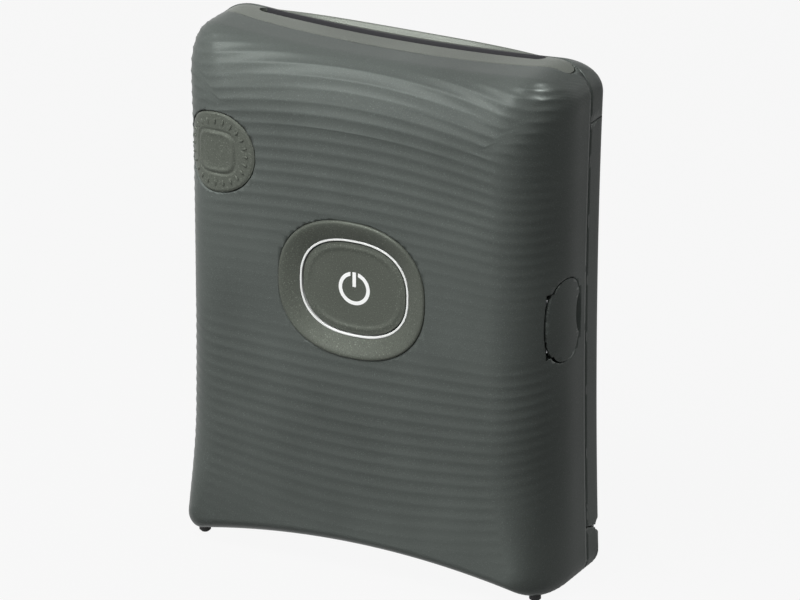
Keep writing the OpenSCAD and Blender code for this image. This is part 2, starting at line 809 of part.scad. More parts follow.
shield_x = [board_x - 20, board_x - 4];
shield_z = [standoff_z[0] + 12, standoff_z[0] + 32];
shield_deep = 2;
shield_t = 0.3;

module shield_can() color(steel) difference() {
    box(shield_x, [board_y - shield_deep, board_y], shield_z);
    box(shield_x + [shield_t, -shield_t], [board_y - shield_deep + shield_t, board_y + 1],
        shield_z + [shield_t, -shield_t]);
}

chip_t = 1.2;
chip_half = 4;
// Places of the chips on the board's back: share of its half width, and height above its lower edge
chip_places = [[-0.63, 15], [-0.21, 11], [0.26, 17], [0.63, 33], [0.68, 11]];

module chip(x, y, z) translate([x, y, z]) box([-chip_half, chip_half], [0, chip_t], [-chip_half, chip_half]);

module board_chips() color(dark_grey) {
    for (p = chip_places) chip(p[0] * board_x, board_y + board_t, board_z[0] + p[1]);
    chip(board_x - 9, board_y - chip_t, board_z[1] - 10);
}

battery_t = 5.2;
battery_x = [4 - board_x, shield_x[0] - 2];
battery_z = [film_z + 5.5, ring_z - ring_h / 2 - 2.5];
battery_y = [inner_front + 0.6, inner_front + 0.6 + battery_t];

module battery() color([0.75, 0.76, 0.78]) union() {
    translate([0, battery_y[0], 0]) box(battery_x, [0, battery_y[1] - battery_y[0]], battery_z);
    translate([(battery_x[0] + battery_x[1]) / 2, 0, battery_z[1]])
        box([-8, 8], [battery_y[0] + 1.5, battery_y[1] - 1.5], [0, 1.6]);
}

// Flat cable from the back of the switch board to the front of the main board
module flex_cable() color([0.75, 0.45, 0.1]) through_x(-4, 4) polygon([
    [switch_y + switch_t, ring_z - 8], [switch_y + switch_t + 0.25, ring_z - 8],
    [switch_y + switch_t + 0.25, ring_z - 4.1], [board_y, ring_z + 1], [board_y, ring_z + 5],
    [board_y - 0.25, ring_z + 5], [board_y - 0.25, ring_z + 1.1], [switch_y + switch_t, ring_z - 4]]);

/* ---- Film chamber ---- */

frame_floor = frame_front + frame_wall;
head_x = chamber_x - 3.5;
head_z = [film_top - 8.3, film_top - 2.1];
head_d = 0.407 * front_room;
slit_z = [film_top - 6.5, film_top - 3.9];
slit_x = chamber_x - 6.5;
claw_y = [frame_floor + 0.95, frame_floor + 4.55];
claw_z = film_z + 13.5;
claw_l = (film_top - film_z) * 5 / 24;
claw_hook_z = claw_z + 3;
knuckle_gap = 0.3;
knuckle_x = hinge_end * [4, 10] / 15;
knuckles_door = [[-knuckle_x[1], -knuckle_x[0]], knuckle_x];
knuckles_fixed = [[-hinge_end, -knuckle_x[1] - knuckle_gap],
    [knuckle_gap - knuckle_x[0], knuckle_x[0] - knuckle_gap], [knuckle_x[1] + knuckle_gap, hinge_end]];

module hinge_bore() translate([0, hinge_y, hinge_z]) rod_x(-far, far, hinge_pin_dia / 2 + running_gap);

module chamber_frame() color(dark_grey) difference() {
    union() {
        box([-chamber_out, chamber_out], [frame_front, front_y1],
            [film_z - frame_wall, film_top + frame_wall]);
        box([-flange_out, flange_out], [flange_y, front_y1], [film_z - frame_wall, film_top - 1.2]);
        for (x = [-1, 1], z = standoff_z) translate([x * standoff_x, 0, z])
            rod_y(board_y + board_t, frame_front, 1.8);
        for (k = knuckles_fixed) {
            translate([0, hinge_y, hinge_z]) rod_x(k[0], k[1], barrel_r);
            box(k, [front_y1 - 3, hinge_y], [hinge_z - barrel_r, hinge_z + 0.6]);
            box(k, [front_y1 - 3, front_y1], [hinge_z, film_z - frame_wall + eps]);
        }
        for (y = [claw_y[0] - 0.55, claw_y[1] + 0.55])
            box([-chamber_out - 2, -chamber_out + eps], [y - 0.25, y + 0.25],
                [claw_z, claw_z + claw_l + claw_travel]);
        box([-chamber_out - 2, -chamber_out + eps], [claw_y[0] + 0.6, claw_y[1] - 0.6],
            [claw_z + claw_l + claw_travel + 14, claw_z + claw_l + claw_travel + 15.5]);
    }
    box([-chamber_x, chamber_x], [frame_floor, far], [film_z, film_top]);
    box([-slit_x, slit_x], [frame_front - 1, frame_floor + 1], slit_z);
    box([-chamber_out - eps, -chamber_x + eps], [claw_y[0] + 0.3, claw_y[1] - 0.3],
        [claw_hook_z - 0.5, claw_hook_z + 3.5 + claw_travel]);
    for (p = case_screw_places) translate([p[0], 0, p[1]]) rod_y(flange_y - 1, far, screw_r + 0.2);
    for (x = [-1, 1], z = standoff_z) translate([x * standoff_x, 0, z])
        rod_y(board_y, frame_front + 0.8, screw_r);
    for (p = plate_screw_places) mirrored() translate([0, p[0], p[1]]) rod_x(chamber_x - 1, far, screw_r);
    box([gear_x - 0.2, far], [flange_y - 1, far], [idler_at[1] - idler_teeth * gear_module / 2 - 1, far]);
    hinge_bore();
}

module exposure_head() color(dark_grey) difference() {
    box([-head_x, head_x], [frame_front - head_d, frame_front - 0.1], head_z);
    box([-slit_x, slit_x], [frame_front - 1.6, frame_front], slit_z);
}

module lens_strip() color([0.6, 0.7, 0.8]) box([-slit_x + 0.2, slit_x - 0.2],
    [frame_front - 1.5, frame_floor - 0.1], [slit_z[0] + 0.2, slit_z[1] - 0.2]);

/* ---- Film drive ---- */

drive_y = film_y - nip_gap / 2 - drive_r;
pinch_y = film_y + nip_gap / 2 + pinch_r;
roller_l = chamber_x - 3;
drive_shaft_r = 1.5;
pinch_shaft_r = 1;
bush_r = 2.2;
bush_pinch_r = 1.6;
plate_x = chamber_out + 0.1;
plate_t = 0.8;
gear_x = plate_x + plate_t + 0.3;
roller_teeth = 20;
idler_teeth = 22;
pinion_teeth = 10;
motor_r = motor_part * front_room;

// The motor lies in front of the chamber and under the exposure head, and the idler bridges to it
motor_gap = 0.4;
pinion_at = [frame_front - motor_gap - motor_r, head_z[0] - motor_gap - motor_r];
drive_span = pinion_at - [drive_y, roller_z];
gear_reach = 1.01;
// Size of the gear teeth, as pitch diameter by tooth count
gear_module = gear_reach * norm(drive_span) / (roller_teeth / 2 + idler_teeth + pinion_teeth / 2);
idler_dist = gear_module * (roller_teeth + idler_teeth) / 2;
pinion_dist = gear_module * (idler_teeth + pinion_teeth) / 2;
idler_lean = acos((pow(idler_dist, 2) + pow(norm(drive_span), 2) - pow(pinion_dist, 2))
    / (2 * idler_dist * norm(drive_span)));
idler_dir = atan2(drive_span[1], drive_span[0]) + idler_lean;
idler_at = [drive_y, roller_z] + idler_dist * [cos(idler_dir), sin(idler_dir)];
pinion_dir = atan2(pinion_at[1] - idler_at[1], pinion_at[0] - idler_at[0]);
// Turn of the pinion that sets a gap of its teeth on the idler's nearest tooth
pinion_turn = pinion_dir + 180 + 180 / pinion_teeth
    + (pinion_dir - idler_dir - 180) * idler_teeth / pinion_teeth;
plate_screw_places = [for (y = [2, 5.4]) [frame_front + y, plate_bottom + 3]];

// Clearance of the roller's gear on its shaft, on the radius
gear_fit = 0.02;

module gear_outline(teeth, turn) {
    r = gear_module * teeth / 2;
    step = 360 / teeth;
    polygon([for (i = [0:teeth - 1])
        each [for (p = [[-0.34, -1.25], [-0.2, 0], [-0.1, 0.83], [0.1, 0.83], [0.2, 0], [0.34, -1.25]])
            (r + p[1] * gear_module) * [cos(turn + (i + p[0]) * step), sin(turn + (i + p[0]) * step)]]]);
}

module gear(at, teeth, turn, bore) translate([0, at[0], at[1]])
    through_x(gear_x, gear_x + gear_t) difference() {
        gear_outline(teeth, turn);
        circle(r = bore);
    }

module side_plate(has_motor) difference() {
    front = has_motor ? pinion_at[0] - motor_r - 0.6 : frame_front - 1;
    through_x(plate_x, plate_x + plate_t) polygon([[front, plate_bottom],
        [flange_y - 0.3, plate_bottom], [flange_y - 0.3, film_top + 0.6], [pinch_y + 2.1, film_top + 1.6],
        [pinch_y + 2.1, roller_z + 2.6], [drive_y - 4, roller_z + 4], [front, film_top - 4.5]]);
    translate([0, drive_y, roller_z]) rod_x(0, far, bush_r);
    translate([0, pinch_y, roller_z]) rod_x(0, far, bush_pinch_r);
    for (p = plate_screw_places) translate([0, p[0], p[1]]) rod_x(0, far, screw_r + 0.2);
    if (has_motor) {
        translate([0, pinion_at[0], pinion_at[1]]) rod_x(0, far, 1.6);
        translate([0, idler_at[0], idler_at[1]]) rod_x(0, far, 1);
    }
}

module side_plate_left() color(steel) mirror([1, 0, 0]) side_plate(false);

module side_plate_right() color(steel) side_plate(true);

module roller_bushes() color("beige") mirrored() for (b = [[drive_y, bush_r, drive_shaft_r],
        [pinch_y, bush_pinch_r, pinch_shaft_r]])
    translate([0, b[0], roller_z]) difference() {
        rod_x(plate_x - 0.5, plate_x + plate_t, b[1]);
        rod_x(0, far, b[2] + running_gap);
    }

module drive_shaft() color(steel) translate([0, drive_y, roller_z])
    rod_x(-plate_x - plate_t - 0.6, gear_x + gear_t, drive_shaft_r);

module drive_sleeve() color(dark_grey) translate([0, drive_y, roller_z]) difference() {
    rod_x(-roller_l, roller_l, drive_r);
    rod_x(-far, far, drive_shaft_r);
}

module roller_gear() color("ivory") gear([drive_y, roller_z], roller_teeth,
    idler_dir + 180 / roller_teeth, drive_shaft_r + gear_fit);

module pinch_roller() color(steel) translate([0, pinch_y, roller_z]) {
    rod_x(-roller_l, roller_l, pinch_r);
    rod_x(-plate_x - plate_t - 0.1, plate_x + plate_t + 0.1, pinch_shaft_r);
}

module idler_gear() color("ivory") gear(idler_at, idler_teeth, idler_dir + 180, 1 + running_gap);

module idler_pin() color(steel) translate([0, idler_at[0], idler_at[1]])
    rod_x(plate_x, gear_x + gear_t + 0.3, 1);

module motor_body() color(steel) translate([0, pinion_at[0], pinion_at[1]]) difference() {
    union() {
        rod_x(plate_x - motor_l, plate_x, motor_r);
        rod_x(plate_x - motor_l - 1.5, plate_x, 1.8);
    }
    rod_x(plate_x - motor_l, far, 0.7 + running_gap);
}

module motor_pinion() color("ivory") union() {
    gear(pinion_at, pinion_teeth, pinion_turn, 0.3);
    translate([0, pinion_at[0], pinion_at[1]]) rod_x(plate_x - motor_l + 1, gear_x + gear_t, 0.7);
}

module claw_slider() color("ivory") union() {
    box([-chamber_out - 1.4, -chamber_out - 0.3], claw_y, [claw_z, claw_z + claw_l]);
    box([-chamber_out - 0.3 - eps, -chamber_x + 0.8], [claw_y[0] + 0.6, claw_y[1] - 0.6],
        [claw_hook_z, claw_hook_z + 3]);
}

spring_turns = 9;
spring_steps = 12;
spring_sides = 6;
spring_r = 0.8;
spring_wire = 0.16;
spring_l = claw_travel + 14;

// Helical spring as one swept tube, standing on its lower end
module coil_spring() {
    total = spring_turns * spring_steps;
    function ring_at(i) = let (a = 360 * i / spring_steps,
            z = spring_wire + (spring_l - 2 * spring_wire) * i / total)
        [for (j = [0:spring_sides - 1]) let (b = 360 * j / spring_sides, r = spring_r + spring_wire * cos(b))
            [r * cos(a), r * sin(a), z + spring_wire * sin(b)]];
    polyhedron(
        points = [for (i = [0:total]) each ring_at(i)],
        faces = concat(
            [[for (j = [0:spring_sides - 1]) j],
                [for (j = [spring_sides - 1:-1:0]) total * spring_sides + j]],
            [for (i = [0:total - 1], j = [0:spring_sides - 1]) let (b = (j + 1) % spring_sides)
                [i * spring_sides + j, (i + 1) * spring_sides + j, (i + 1) * spring_sides + b]],
            [for (i = [0:total - 1], j = [0:spring_sides - 1]) let (b = (j + 1) % spring_sides)
                [i * spring_sides + j, (i + 1) * spring_sides + b, i * spring_sides + b]]));
}

module claw_spring() color(steel)
    translate([-chamber_out - 0.3 - spring_r - spring_wire, (claw_y[0] + claw_y[1]) / 2, claw_z + claw_l])
    coil_spring();

/* ---- Film door ---- */

latch_z = door_top - 9.8;
latch_w = 14;
latch_h = 8;
latch_neck = 4.6;
latch_deep = 1.1;
latch_gap = 0.2;
seal_x = flange_out - 0.9;
seal_t = 1.2;
seal_z = [film_z - 1.4, film_top - 2];

// The seal runs round the chamber's sides and foot; the film leaves at its open top
module seal_outline() difference() {
    translate([-seal_x, seal_z[0]]) square([2 * seal_x, seal_z[1] - seal_z[0]]);
    translate([seal_t - seal_x, seal_z[0] + seal_t]) square([2 * (seal_x - seal_t), far]);
}

door_rib_x = chamber_x - 13.5;
door_rib_z = hinge_z + 12.8;
door_rib_step = (door_top - door_rib_z - 8.8) / 4;

module film_door() color(case_grey) difference() {
    union() {
        difference() {
            intersection() {
                skin(0);
                through_x(-far, far) above_edge(door_top);
            }
            skin(wall);
        }
        through_y(rear_y0 + 1.2, inner_back + 0.5) seal_outline();
        for (x = [-door_rib_x, door_rib_x], k = [0:3]) let (z = door_rib_z + door_rib_step * k)
            stadium([x, z], [x, z + door_rib_step - 4], inner_back - 0.8, inner_back + 0.5, rib_r);
    }
    through_y(back_y - latch_deep, far)
        translate([-latch_w / 2 - latch_gap, latch_z - latch_h / 2 - latch_gap])
        square([latch_w + 2 * latch_gap, latch_h + latch_travel + 2 * latch_gap]);
    through_y(0, far) translate([-latch_neck / 2 - latch_gap, latch_z - 1.5 - latch_gap])
        square([latch_neck + 2 * latch_gap, 3 + latch_travel + 2 * latch_gap]);
    box([-hinge_end - 0.2, hinge_end + 0.2], [inner_back - leaf_t, leaf_back],
        [0, leaf_z + leaf_h + 0.2]);
    box([-tongue_w / 2 - 0.3, tongue_w / 2 + 0.3], [tongue_y - tongue_t - 0.3, leaf_back],
        [latch_z - 6, far]);
}

leaf_t = 1.2;
leaf_h = 5;
// The leaf lies in a shallow recess of the door's inner face
leaf_back = inner_back + 0.2;
leaf_z = hinge_z + barrel_r + barrel_gap + 0.1;

module door_hinge_leaf() color(dark_grey) difference() {
    union() {
        box([-hinge_end, hinge_end], [leaf_back - leaf_t, leaf_back], [leaf_z, leaf_z + leaf_h]);
        for (k = knuckles_door) {
            translate([0, hinge_y, hinge_z]) rod_x(k[0], k[1], barrel_r);
            box(k, [leaf_back - leaf_t, leaf_back], [hinge_z, leaf_z + 1]);
        }
    }
    hinge_bore();
}

module hinge_pin() color(steel) translate([0, hinge_y, hinge_z])
    rod_x(-hinge_end + 0.2, hinge_end - 0.2, hinge_pin_dia / 2);

tongue_t = 0.9;
tongue_w = 10;
tongue_y = inner_back - 0.9;
tongue_top = door_top - 0.5;

module door_latch() color(trim_grey) union() {
    box([-latch_w / 2, latch_w / 2], [back_y - latch_deep + 0.15, back_y - 0.35],
        [latch_z - latch_h / 2, latch_z + latch_h / 2]);
    for (k = [-2:2]) box([-latch_w / 2 + 2, latch_w / 2 - 2], [back_y - 0.4, back_y - 0.05],
        [latch_z + k * 1.4 - 0.35, latch_z + k * 1.4 + 0.35]);
    box([-latch_neck / 2, latch_neck / 2], [tongue_y - eps, back_y - latch_deep + 0.2],
        [latch_z - 1.5, latch_z + 1.5]);
    box([-tongue_w / 2, tongue_w / 2], [tongue_y - tongue_t, tongue_y], [latch_z - 5, tongue_top]);
}

// Leaf springs that press the film pack against the chamber's floor
leaf_spring_x = [12, 18];
leaf_spring_t = 0.3;
leaf_spring_rise = 2.7;
leaf_spring_half = (film_top - film_z) / 2 - 18;
leaf_spring_bend = leaf_spring_half - 8;

module pressure_springs() color(steel) mirrored() through_x(leaf_spring_x[0], leaf_spring_x[1])
    translate([inner_back, (film_z + film_top) / 2]) polygon(concat(
        [for (p = [[0, -leaf_spring_half], [0, -leaf_spring_bend], [-leaf_spring_rise, 0],
            [0, leaf_spring_bend], [0, leaf_spring_half]]) p - [leaf_spring_t, 0]],
        [[0, leaf_spring_half], [0, leaf_spring_bend], [-leaf_spring_rise, 0], [0, -leaf_spring_bend],
            [0, -leaf_spring_half]]));

module door_seal() color(dark_grey) through_y(front_y1 + 0.35, rear_y0 + 1.2) seal_outline();

/* ---- Screws ---- */

// Screw whose head lies at the local origin and whose shank runs down
module screw(r, l, head_r, head_t) difference() {
    union() {
        cylinder(r = head_r, h = head_t);
        translate([0, 0, -l]) cylinder(r = r, h = l + eps);
    }
    for (a = [0, 90]) rotate(a) translate([-head_r * 0.6, -0.15, head_t * 0.5])
        cube([head_r * 1.2, 0.3, head_t]);
}

module case_screws() color(steel) for (p = case_screw_places)
    translate([p[0], flange_y + frame_wall, p[1]]) rotate([-90, 0, 0]) screw(screw_r - 0.05, 6, 1.5, 0.3);

module board_screws() color(steel) {
    for (x = [-1, 1], z = standoff_z) translate([x * standoff_x, board_y, z])
        rotate([90, 0, 0]) screw(screw_r - 0.05, 4, 1.5, 0.8);
    for (x = [-1, 1]) translate([x * board_boss_x, switch_y + switch_t, ring_z])
        rotate([-90, 0, 0]) screw(0.55, 3.4, 1.3, 0.7);
}

module plate_screws() color(steel) mirrored() for (p = plate_screw_places)
    translate([plate_x + plate_t, p[0], p[1]]) rotate([0, 90, 0]) screw(screw_r - 0.05, 2.4, 1.4, 0.7);

front_shell();
top_rear_cover();
bottom_rear_cover();
top_panel();
slot_felt();
feet();
power_ring();
light_guide();
power_button();
power_symbol();
power_dome();
switch_board();
function_button();
function_dome();
function_switch();
port_cover();
port_hinge_pin();
usb_socket();
socket_tongue();
reset_button();
reset_switch();
main_board();
shield_can();
board_chips();
battery();
flex_cable();
chamber_frame();
exposure_head();
lens_strip();
side_plate_left();
side_plate_right();
roller_bushes();
drive_shaft();
drive_sleeve();
roller_gear();
pinch_roller();
idler_gear();
idler_pin();
motor_body();
motor_pinion();
claw_slider();
claw_spring();
film_door();
door_hinge_leaf();
hinge_pin();
door_latch();
pressure_springs();
door_seal();
case_screws();
board_screws();
plate_screws();
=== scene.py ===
"""Compact photo printer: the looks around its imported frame.

Sizes are metres in the frame of the part: +Z up, front face towards -Y, origin on the ground
under the middle of the body.
"""

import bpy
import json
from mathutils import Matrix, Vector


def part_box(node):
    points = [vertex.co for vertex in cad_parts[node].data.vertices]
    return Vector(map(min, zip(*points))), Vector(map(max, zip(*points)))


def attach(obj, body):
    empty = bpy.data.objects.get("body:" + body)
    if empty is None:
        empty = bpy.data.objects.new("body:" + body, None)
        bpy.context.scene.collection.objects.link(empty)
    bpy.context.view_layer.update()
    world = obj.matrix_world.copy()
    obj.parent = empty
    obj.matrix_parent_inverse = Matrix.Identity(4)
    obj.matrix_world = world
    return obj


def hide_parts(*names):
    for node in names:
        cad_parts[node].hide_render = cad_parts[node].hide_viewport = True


bl_info = {
    "name": "Compact photo printer",
    "version": (1, 0, 0),
    "blender": (4, 5, 0),
    "location": "View3D > Sidebar > Photo printer",
    "description": "Builds the casing, buttons, film exit and finishes of a compact photo printer",
    "category": "Object",
}

import json
import math

import bmesh
import bpy
from bpy.props import FloatProperty, FloatVectorProperty, IntProperty, PointerProperty
from bpy.types import Operator, Panel, PropertyGroup
from mathutils import Matrix, Vector
from mathutils.bvhtree import BVHTree

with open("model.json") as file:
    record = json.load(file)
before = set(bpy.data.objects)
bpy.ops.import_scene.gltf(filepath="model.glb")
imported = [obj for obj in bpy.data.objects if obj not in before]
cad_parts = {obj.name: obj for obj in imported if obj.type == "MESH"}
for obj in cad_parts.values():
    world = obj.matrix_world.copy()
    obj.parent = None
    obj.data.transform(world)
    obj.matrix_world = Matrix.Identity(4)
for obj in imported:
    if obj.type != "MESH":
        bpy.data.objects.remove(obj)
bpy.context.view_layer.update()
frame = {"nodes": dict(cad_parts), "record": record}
MM = 0.001
MERGE = 1e-6            # vertices nearer than this are one
NODE_MERGE = 2e-7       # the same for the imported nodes, whose smallest edges are shorter
FRONT_GRID = (92, 470)  # columns and rows of the front's skin: the ripples need many rows
BACK_GRID = (70, 110)
SEAM_LAP = 0.0006       # how far a skin runs on past the seam between front and back
CREASE = 28.0           # angle in degrees above which an edge is sharp on the turned pieces
SKIN_CREASE = 30.0      # the same for the skins


def length(name, value_mm, description):
    return FloatProperty(name=name, description=description, default=value_mm * MM, subtype="DISTANCE",
                         unit="LENGTH", precision=5)


def colour(name, value, description):
    return FloatVectorProperty(name=name, description=description, default=value, subtype="COLOR",
                               size=3, min=0.0, max=1.0)


def srgb(red, green, blue):
    """Linear colour from the eight-bit values that a screen shows."""
    return tuple(((c / 255 + 0.055) / 1.055) ** 2.4 if c > 10 else c / 255 / 12.92
                 for c in (red, green, blue))


class CasingSizes(PropertyGroup):
    width: length("Width", 97.5, "Overall width of the body")
    depth: length("Depth", 34, "Overall depth, from the trim ring's face to the back")
    height: length("Height", 127.5, "Overall height, feet included")
    foot: length("Foot height", 0.8, "Height of the feet below the body")
    ring_proud: length("Ring proud", 0.4, "How far the trim ring stands out of the front face")
    rear: length("Rear depth", 8.2, "Depth of the rear covers and the film door")
    side_bow: FloatProperty(name="Side bow", default=0.021,
                            description="How far the sides bow in, as a part of the half width")
    top_sag: length("Top sag", 1.5, "How far the top edge sags at mid width")
    bottom_arch: length("Bottom arch", 4.7, "How far the bottom edge arches up at mid width")
    corner_top: length("Upper corner", 9.5, "Radius of the upper corners")
    corner_bottom: length("Lower corner", 5, "Radius of the lower corners")
    corner_top_grow: length("Upper corner growth", 8.5, "Growth of the upper corners' radius to the front")
    corner_bottom_grow: length("Lower corner growth", 6, "Growth of the lower corners' radius to the front")
    front_side: length("Side round-over width", 12.6, "Width of the round-over beside the front face")
    front_side_d: length("Side round-over depth", 19.5, "Depth of the round-over beside the front face")
    front_top: length("Top round-over height", 15.5, "Height of the round-over above the front face")
    front_top_d: length("Top round-over depth", 11, "Depth of the round-over above the front face")
    front_bottom: length("Bottom round-over height", 5.6, "Height of the round-over below the front face")
    front_bottom_d: length("Bottom round-over depth", 14, "Depth of the round-over below the front face")
    front_corner: length("Corner round-over width", 7, "Width of the side round-over at the lower corners")
    corner_reach: length("Corner reach", 32, "Height over which the side round-over narrows")
    back_side: length("Back side round-over", 3.5, "Width of the round-over beside the back face")
    back_side_d: length("Back side depth", 2.6, "Depth of the round-over beside the back face")
    back_top: length("Back top round-over", 6, "Height of the round-over above the back face")
    back_top_d: length("Back top depth", 11, "Depth of the round-over above the back face")
    back_bottom: length("Back bottom round-over", 4, "Height of the round-over below the back face")
    back_bottom_d: length("Back bottom depth", 5.5, "Depth of the round-over below the back face")


class RippleSizes(PropertyGroup):
    pitch: length("Pitch", 2.98, "Distance from crest to crest along the front")
    deep: length("Depth", 0.19, "Depth of the strongest ripples")
    middle: length("Level height", 66, "Height at which the ripples run level")
    spread: FloatProperty(name="Spread", default=62.0,
                          description="How fast the ripples close up to the sides, per square metre")


class FrontSizes(PropertyGroup):
    ring_z: length("Button height", 72.05, "Height of the power button's centre")
    ring_w: length("Ring width", 38.2, "Width of the trim ring")
    ring_h: length("Ring height", 33.7, "Height of the trim ring")
    ring_band: length("Ring band", 4.9, "Width of the ring's band")
    ring_slope: length("Ring slope", 1.7, "How deep the band slopes in towards the button")
    guide_band: length("Light guide", 0.5, "Visible width of the light guide")
    button_gap: length("Button gap", 0.3, "Gap round a button in its opening")
    function_x: length("Function button place", 34.8, "Distance of the function button from the middle")
    function_z: length("Function button height", 100, "Height of the function button's centre")
    function_dia: length("Function button size", 19.6, "Diameter of the function button")
    function_tilt: FloatProperty(name="Function button tilt", default=math.radians(17), subtype="ANGLE",
                                 unit="ROTATION", description="Angle by which it faces to the left")
    function_sink: length("Function button sink", 0.1, "How far the button's face lies below the casing")
    ticks: IntProperty(name="Ticks", default=24, min=6, max=48,
                       description="Raised ticks round the function button")


class ExitSizes(PropertyGroup):
    panel_l: length("Panel length", 90, "Length of the top panel")
    panel_w: length("Panel width", 11.2, "Width of the top panel")
    panel_y: length("Panel place", 6.2, "Place of the panel's middle in the depth")
    slot_l: length("Slot length", 74, "Length of the film slot")
    slot_w: length("Slot width", 1.8, "Width of the film slot")
    film_y: length("Film path", 9.5, "Place of the film's path in the depth")
    # The dark ramp is a black sheet of painted shade in front of the slot, where shade falls
    lead: length("Slot lead", 2.0, "Width of the dark ramp in front of the slot")


class Finishes(PropertyGroup):
    casing: colour("Casing", srgb(84, 89, 86), "Dark grey-green of the casing")
    trim: colour("Trim", srgb(88, 92, 85), "Warm grey of the ring and buttons")
    panel: colour("Panel", srgb(106, 110, 104), "Light metallic grey of the top panel")
    white: colour("White", srgb(238, 240, 238), "White of the symbol and the light guide")
    black: colour("Black", srgb(30, 30, 31), "Black plastic")
    rubber: colour("Rubber", srgb(26, 26, 26), "Black rubber")
    steel: colour("Steel", srgb(190, 192, 196), "Plated steel")
    nylon: colour("Nylon", srgb(226, 222, 208), "Natural nylon of the gears")
    board: colour("Board", srgb(16, 92, 58), "Green of the circuit boards")
    cell: colour("Cell", srgb(196, 198, 202), "Foil of the battery")
    flex: colour("Flat cable", srgb(176, 112, 34), "Amber film of the flat cable")
    felt: colour("Felt", srgb(34, 34, 36), "Black felt")
    lens: colour("Lens", srgb(216, 226, 234), "Clear lens strip")


# ---- Shader maths ----


class Value:
    """A socket of a node tree, or a number, that Python's operators work on."""

    def __init__(self, shade, socket):
        self.shade, self.socket = shade, socket

    def math(self, operation, other):
        node = self.shade.add("ShaderNodeMath", {"operation": operation}, i0=self, i1=other)
        return Value(self.shade, node.outputs[0])

    def __add__(self, other):
        return self.math("ADD", other)

    def __sub__(self, other):
        return self.math("SUBTRACT", other)

    def __mul__(self, other):
        return self.math("MULTIPLY", other)

    __radd__ = __add__


class Shade:
    """Builds one material's nodes."""

    def __init__(self, name):
        self.material = bpy.data.materials.new(name)
        self.material.use_nodes = True
        self.tree = self.material.node_tree
        self.tree.nodes.clear()
        self.coords = Value(self, self.add("ShaderNodeTexCoord").outputs["Object"])

    def add(self, kind, settings=None, **sockets):
        """Adds a node; its settings are set first, then its sockets: i0, i1 by place, others by name."""
        node = self.tree.nodes.new(kind)
        for key, value in (settings or {}).items():
            setattr(node, key, value)
        for key, value in sockets.items():
            if key[0] == "i" and key[1:].isdigit():
                socket = node.inputs[int(key[1:])]
            else:
                socket = node.inputs[key.replace("_", " ")]
            if isinstance(value, Value):
                self.tree.links.new(value.socket, socket)
            elif value is not None:
                socket.default_value = value
        return node

    def moved(self, scale, turn=(0, 0, 0)):
        node = self.add("ShaderNodeMapping", None, Vector=self.coords, Rotation=turn, Scale=scale)
        return Value(self, node.outputs[0])

    def noise(self, scale, detail=2.0, rough=0.5, vector=None):
        """Noise of the given size: scale is features per metre."""
        node = self.add("ShaderNodeTexNoise", None, Vector=vector or self.coords, Scale=scale,
                        Detail=detail, Roughness=rough)
        return Value(self, node.outputs["Fac"])

    def cells(self, scale):
        node = self.add("ShaderNodeTexVoronoi", {"feature": "F1"}, Vector=self.coords, Scale=scale)
        return Value(self, node.outputs["Distance"])

    def spread(self, value, low, high):
        """0 at low, 1 at high and even between them."""
        node = self.add("ShaderNodeMapRange", {"clamp": True}, Value=value, i1=low, i2=high, i3=0.0, i4=1.0)
        return Value(self, node.outputs[0])

    def mix(self, factor, a, b):
        """Mixes two colours."""
        node = self.add("ShaderNodeMix", {"data_type": "RGBA"})
        for socket, value in zip((node.inputs[0], node.inputs[6], node.inputs[7]), (factor, a, b)):
            if isinstance(value, Value):
                self.tree.links.new(value.socket, socket)
            else:
                socket.default_value = value if isinstance(value, (int, float)) else (*value, 1)
        return Value(self, node.outputs[2])

    def bump(self, height, strength, distance):
        node = self.add("ShaderNodeBump", None, Height=height, Strength=strength, Distance=distance)
        return Value(self, node.outputs[0])

    def principled(self, **sockets):
        """The surface itself: constants and links for the Principled shader."""
        node = self.add("ShaderNodeBsdfPrincipled", None, **sockets)
        out = self.add("ShaderNodeOutputMaterial")
        self.tree.links.new(node.outputs[0], out.inputs["Surface"])
        return self.material


def tone(base, factor):
    return tuple(min(c * factor, 1.0) for c in base)


def speckled_paint(name, base, metallic, rough, sparkle, grain=2600, flake=5200, cloud=0.12):
    """Metallic plastic: fine flakes and grain over a colour that drifts a little."""
    s = Shade(name)
    drift = s.noise(35, 2)
    fleck = s.noise(flake, 1.5, 0.6)
    fine = s.noise(grain, 2, 0.6)
    body = s.mix(s.spread(drift, 0.3, 0.7), tone(base, 1 - cloud), tone(base, 1 + cloud))
    bright = s.spread(fleck, 0.60, 0.80)
    dark = s.spread(fleck, 0.40, 0.24)
    lit = s.mix(bright * sparkle, body, tone(base, 2.6))
    shade = s.mix(dark * (sparkle * 0.8), lit, tone(base, 0.45))
    scuff = s.spread(s.noise(120, 3), 0.35, 0.75)
    roughness = rough + (fine - 0.5) * 0.16 + scuff * 0.05
    return s.principled(Base_Color=shade, Metallic=metallic, Roughness=roughness,
                        Normal=s.bump(fine + fleck * 0.6, 0.16, 0.00006), Specular_IOR_Level=0.04)


def moulded_plastic(name, base, rough=0.5, grain=1800):
    s = Shade(name)
    fine = s.noise(grain, 3, 0.6)
    drift = s.noise(60, 2)
    return s.principled(Base_Color=s.mix(s.spread(drift, 0.3, 0.7), tone(base, 0.85), tone(base, 1.15)),
                        Roughness=rough + (fine - 0.5) * 0.2, Normal=s.bump(fine, 0.25, 0.00008))


def brushed_steel(name, base, turn=(0, 0, 0)):
    s = Shade(name)
    streak = s.noise(900, 3, 0.6, s.moved((0.06, 1, 1), turn))
    blotch = s.noise(90, 2)
    return s.principled(Base_Color=s.mix(s.spread(streak, 0.3, 0.7), tone(base, 0.82), tone(base, 1.1)),
                        Metallic=1.0, Roughness=0.24 + streak * 0.18 + blotch * 0.08,
                        Normal=s.bump(streak, 0.1, 0.00003))


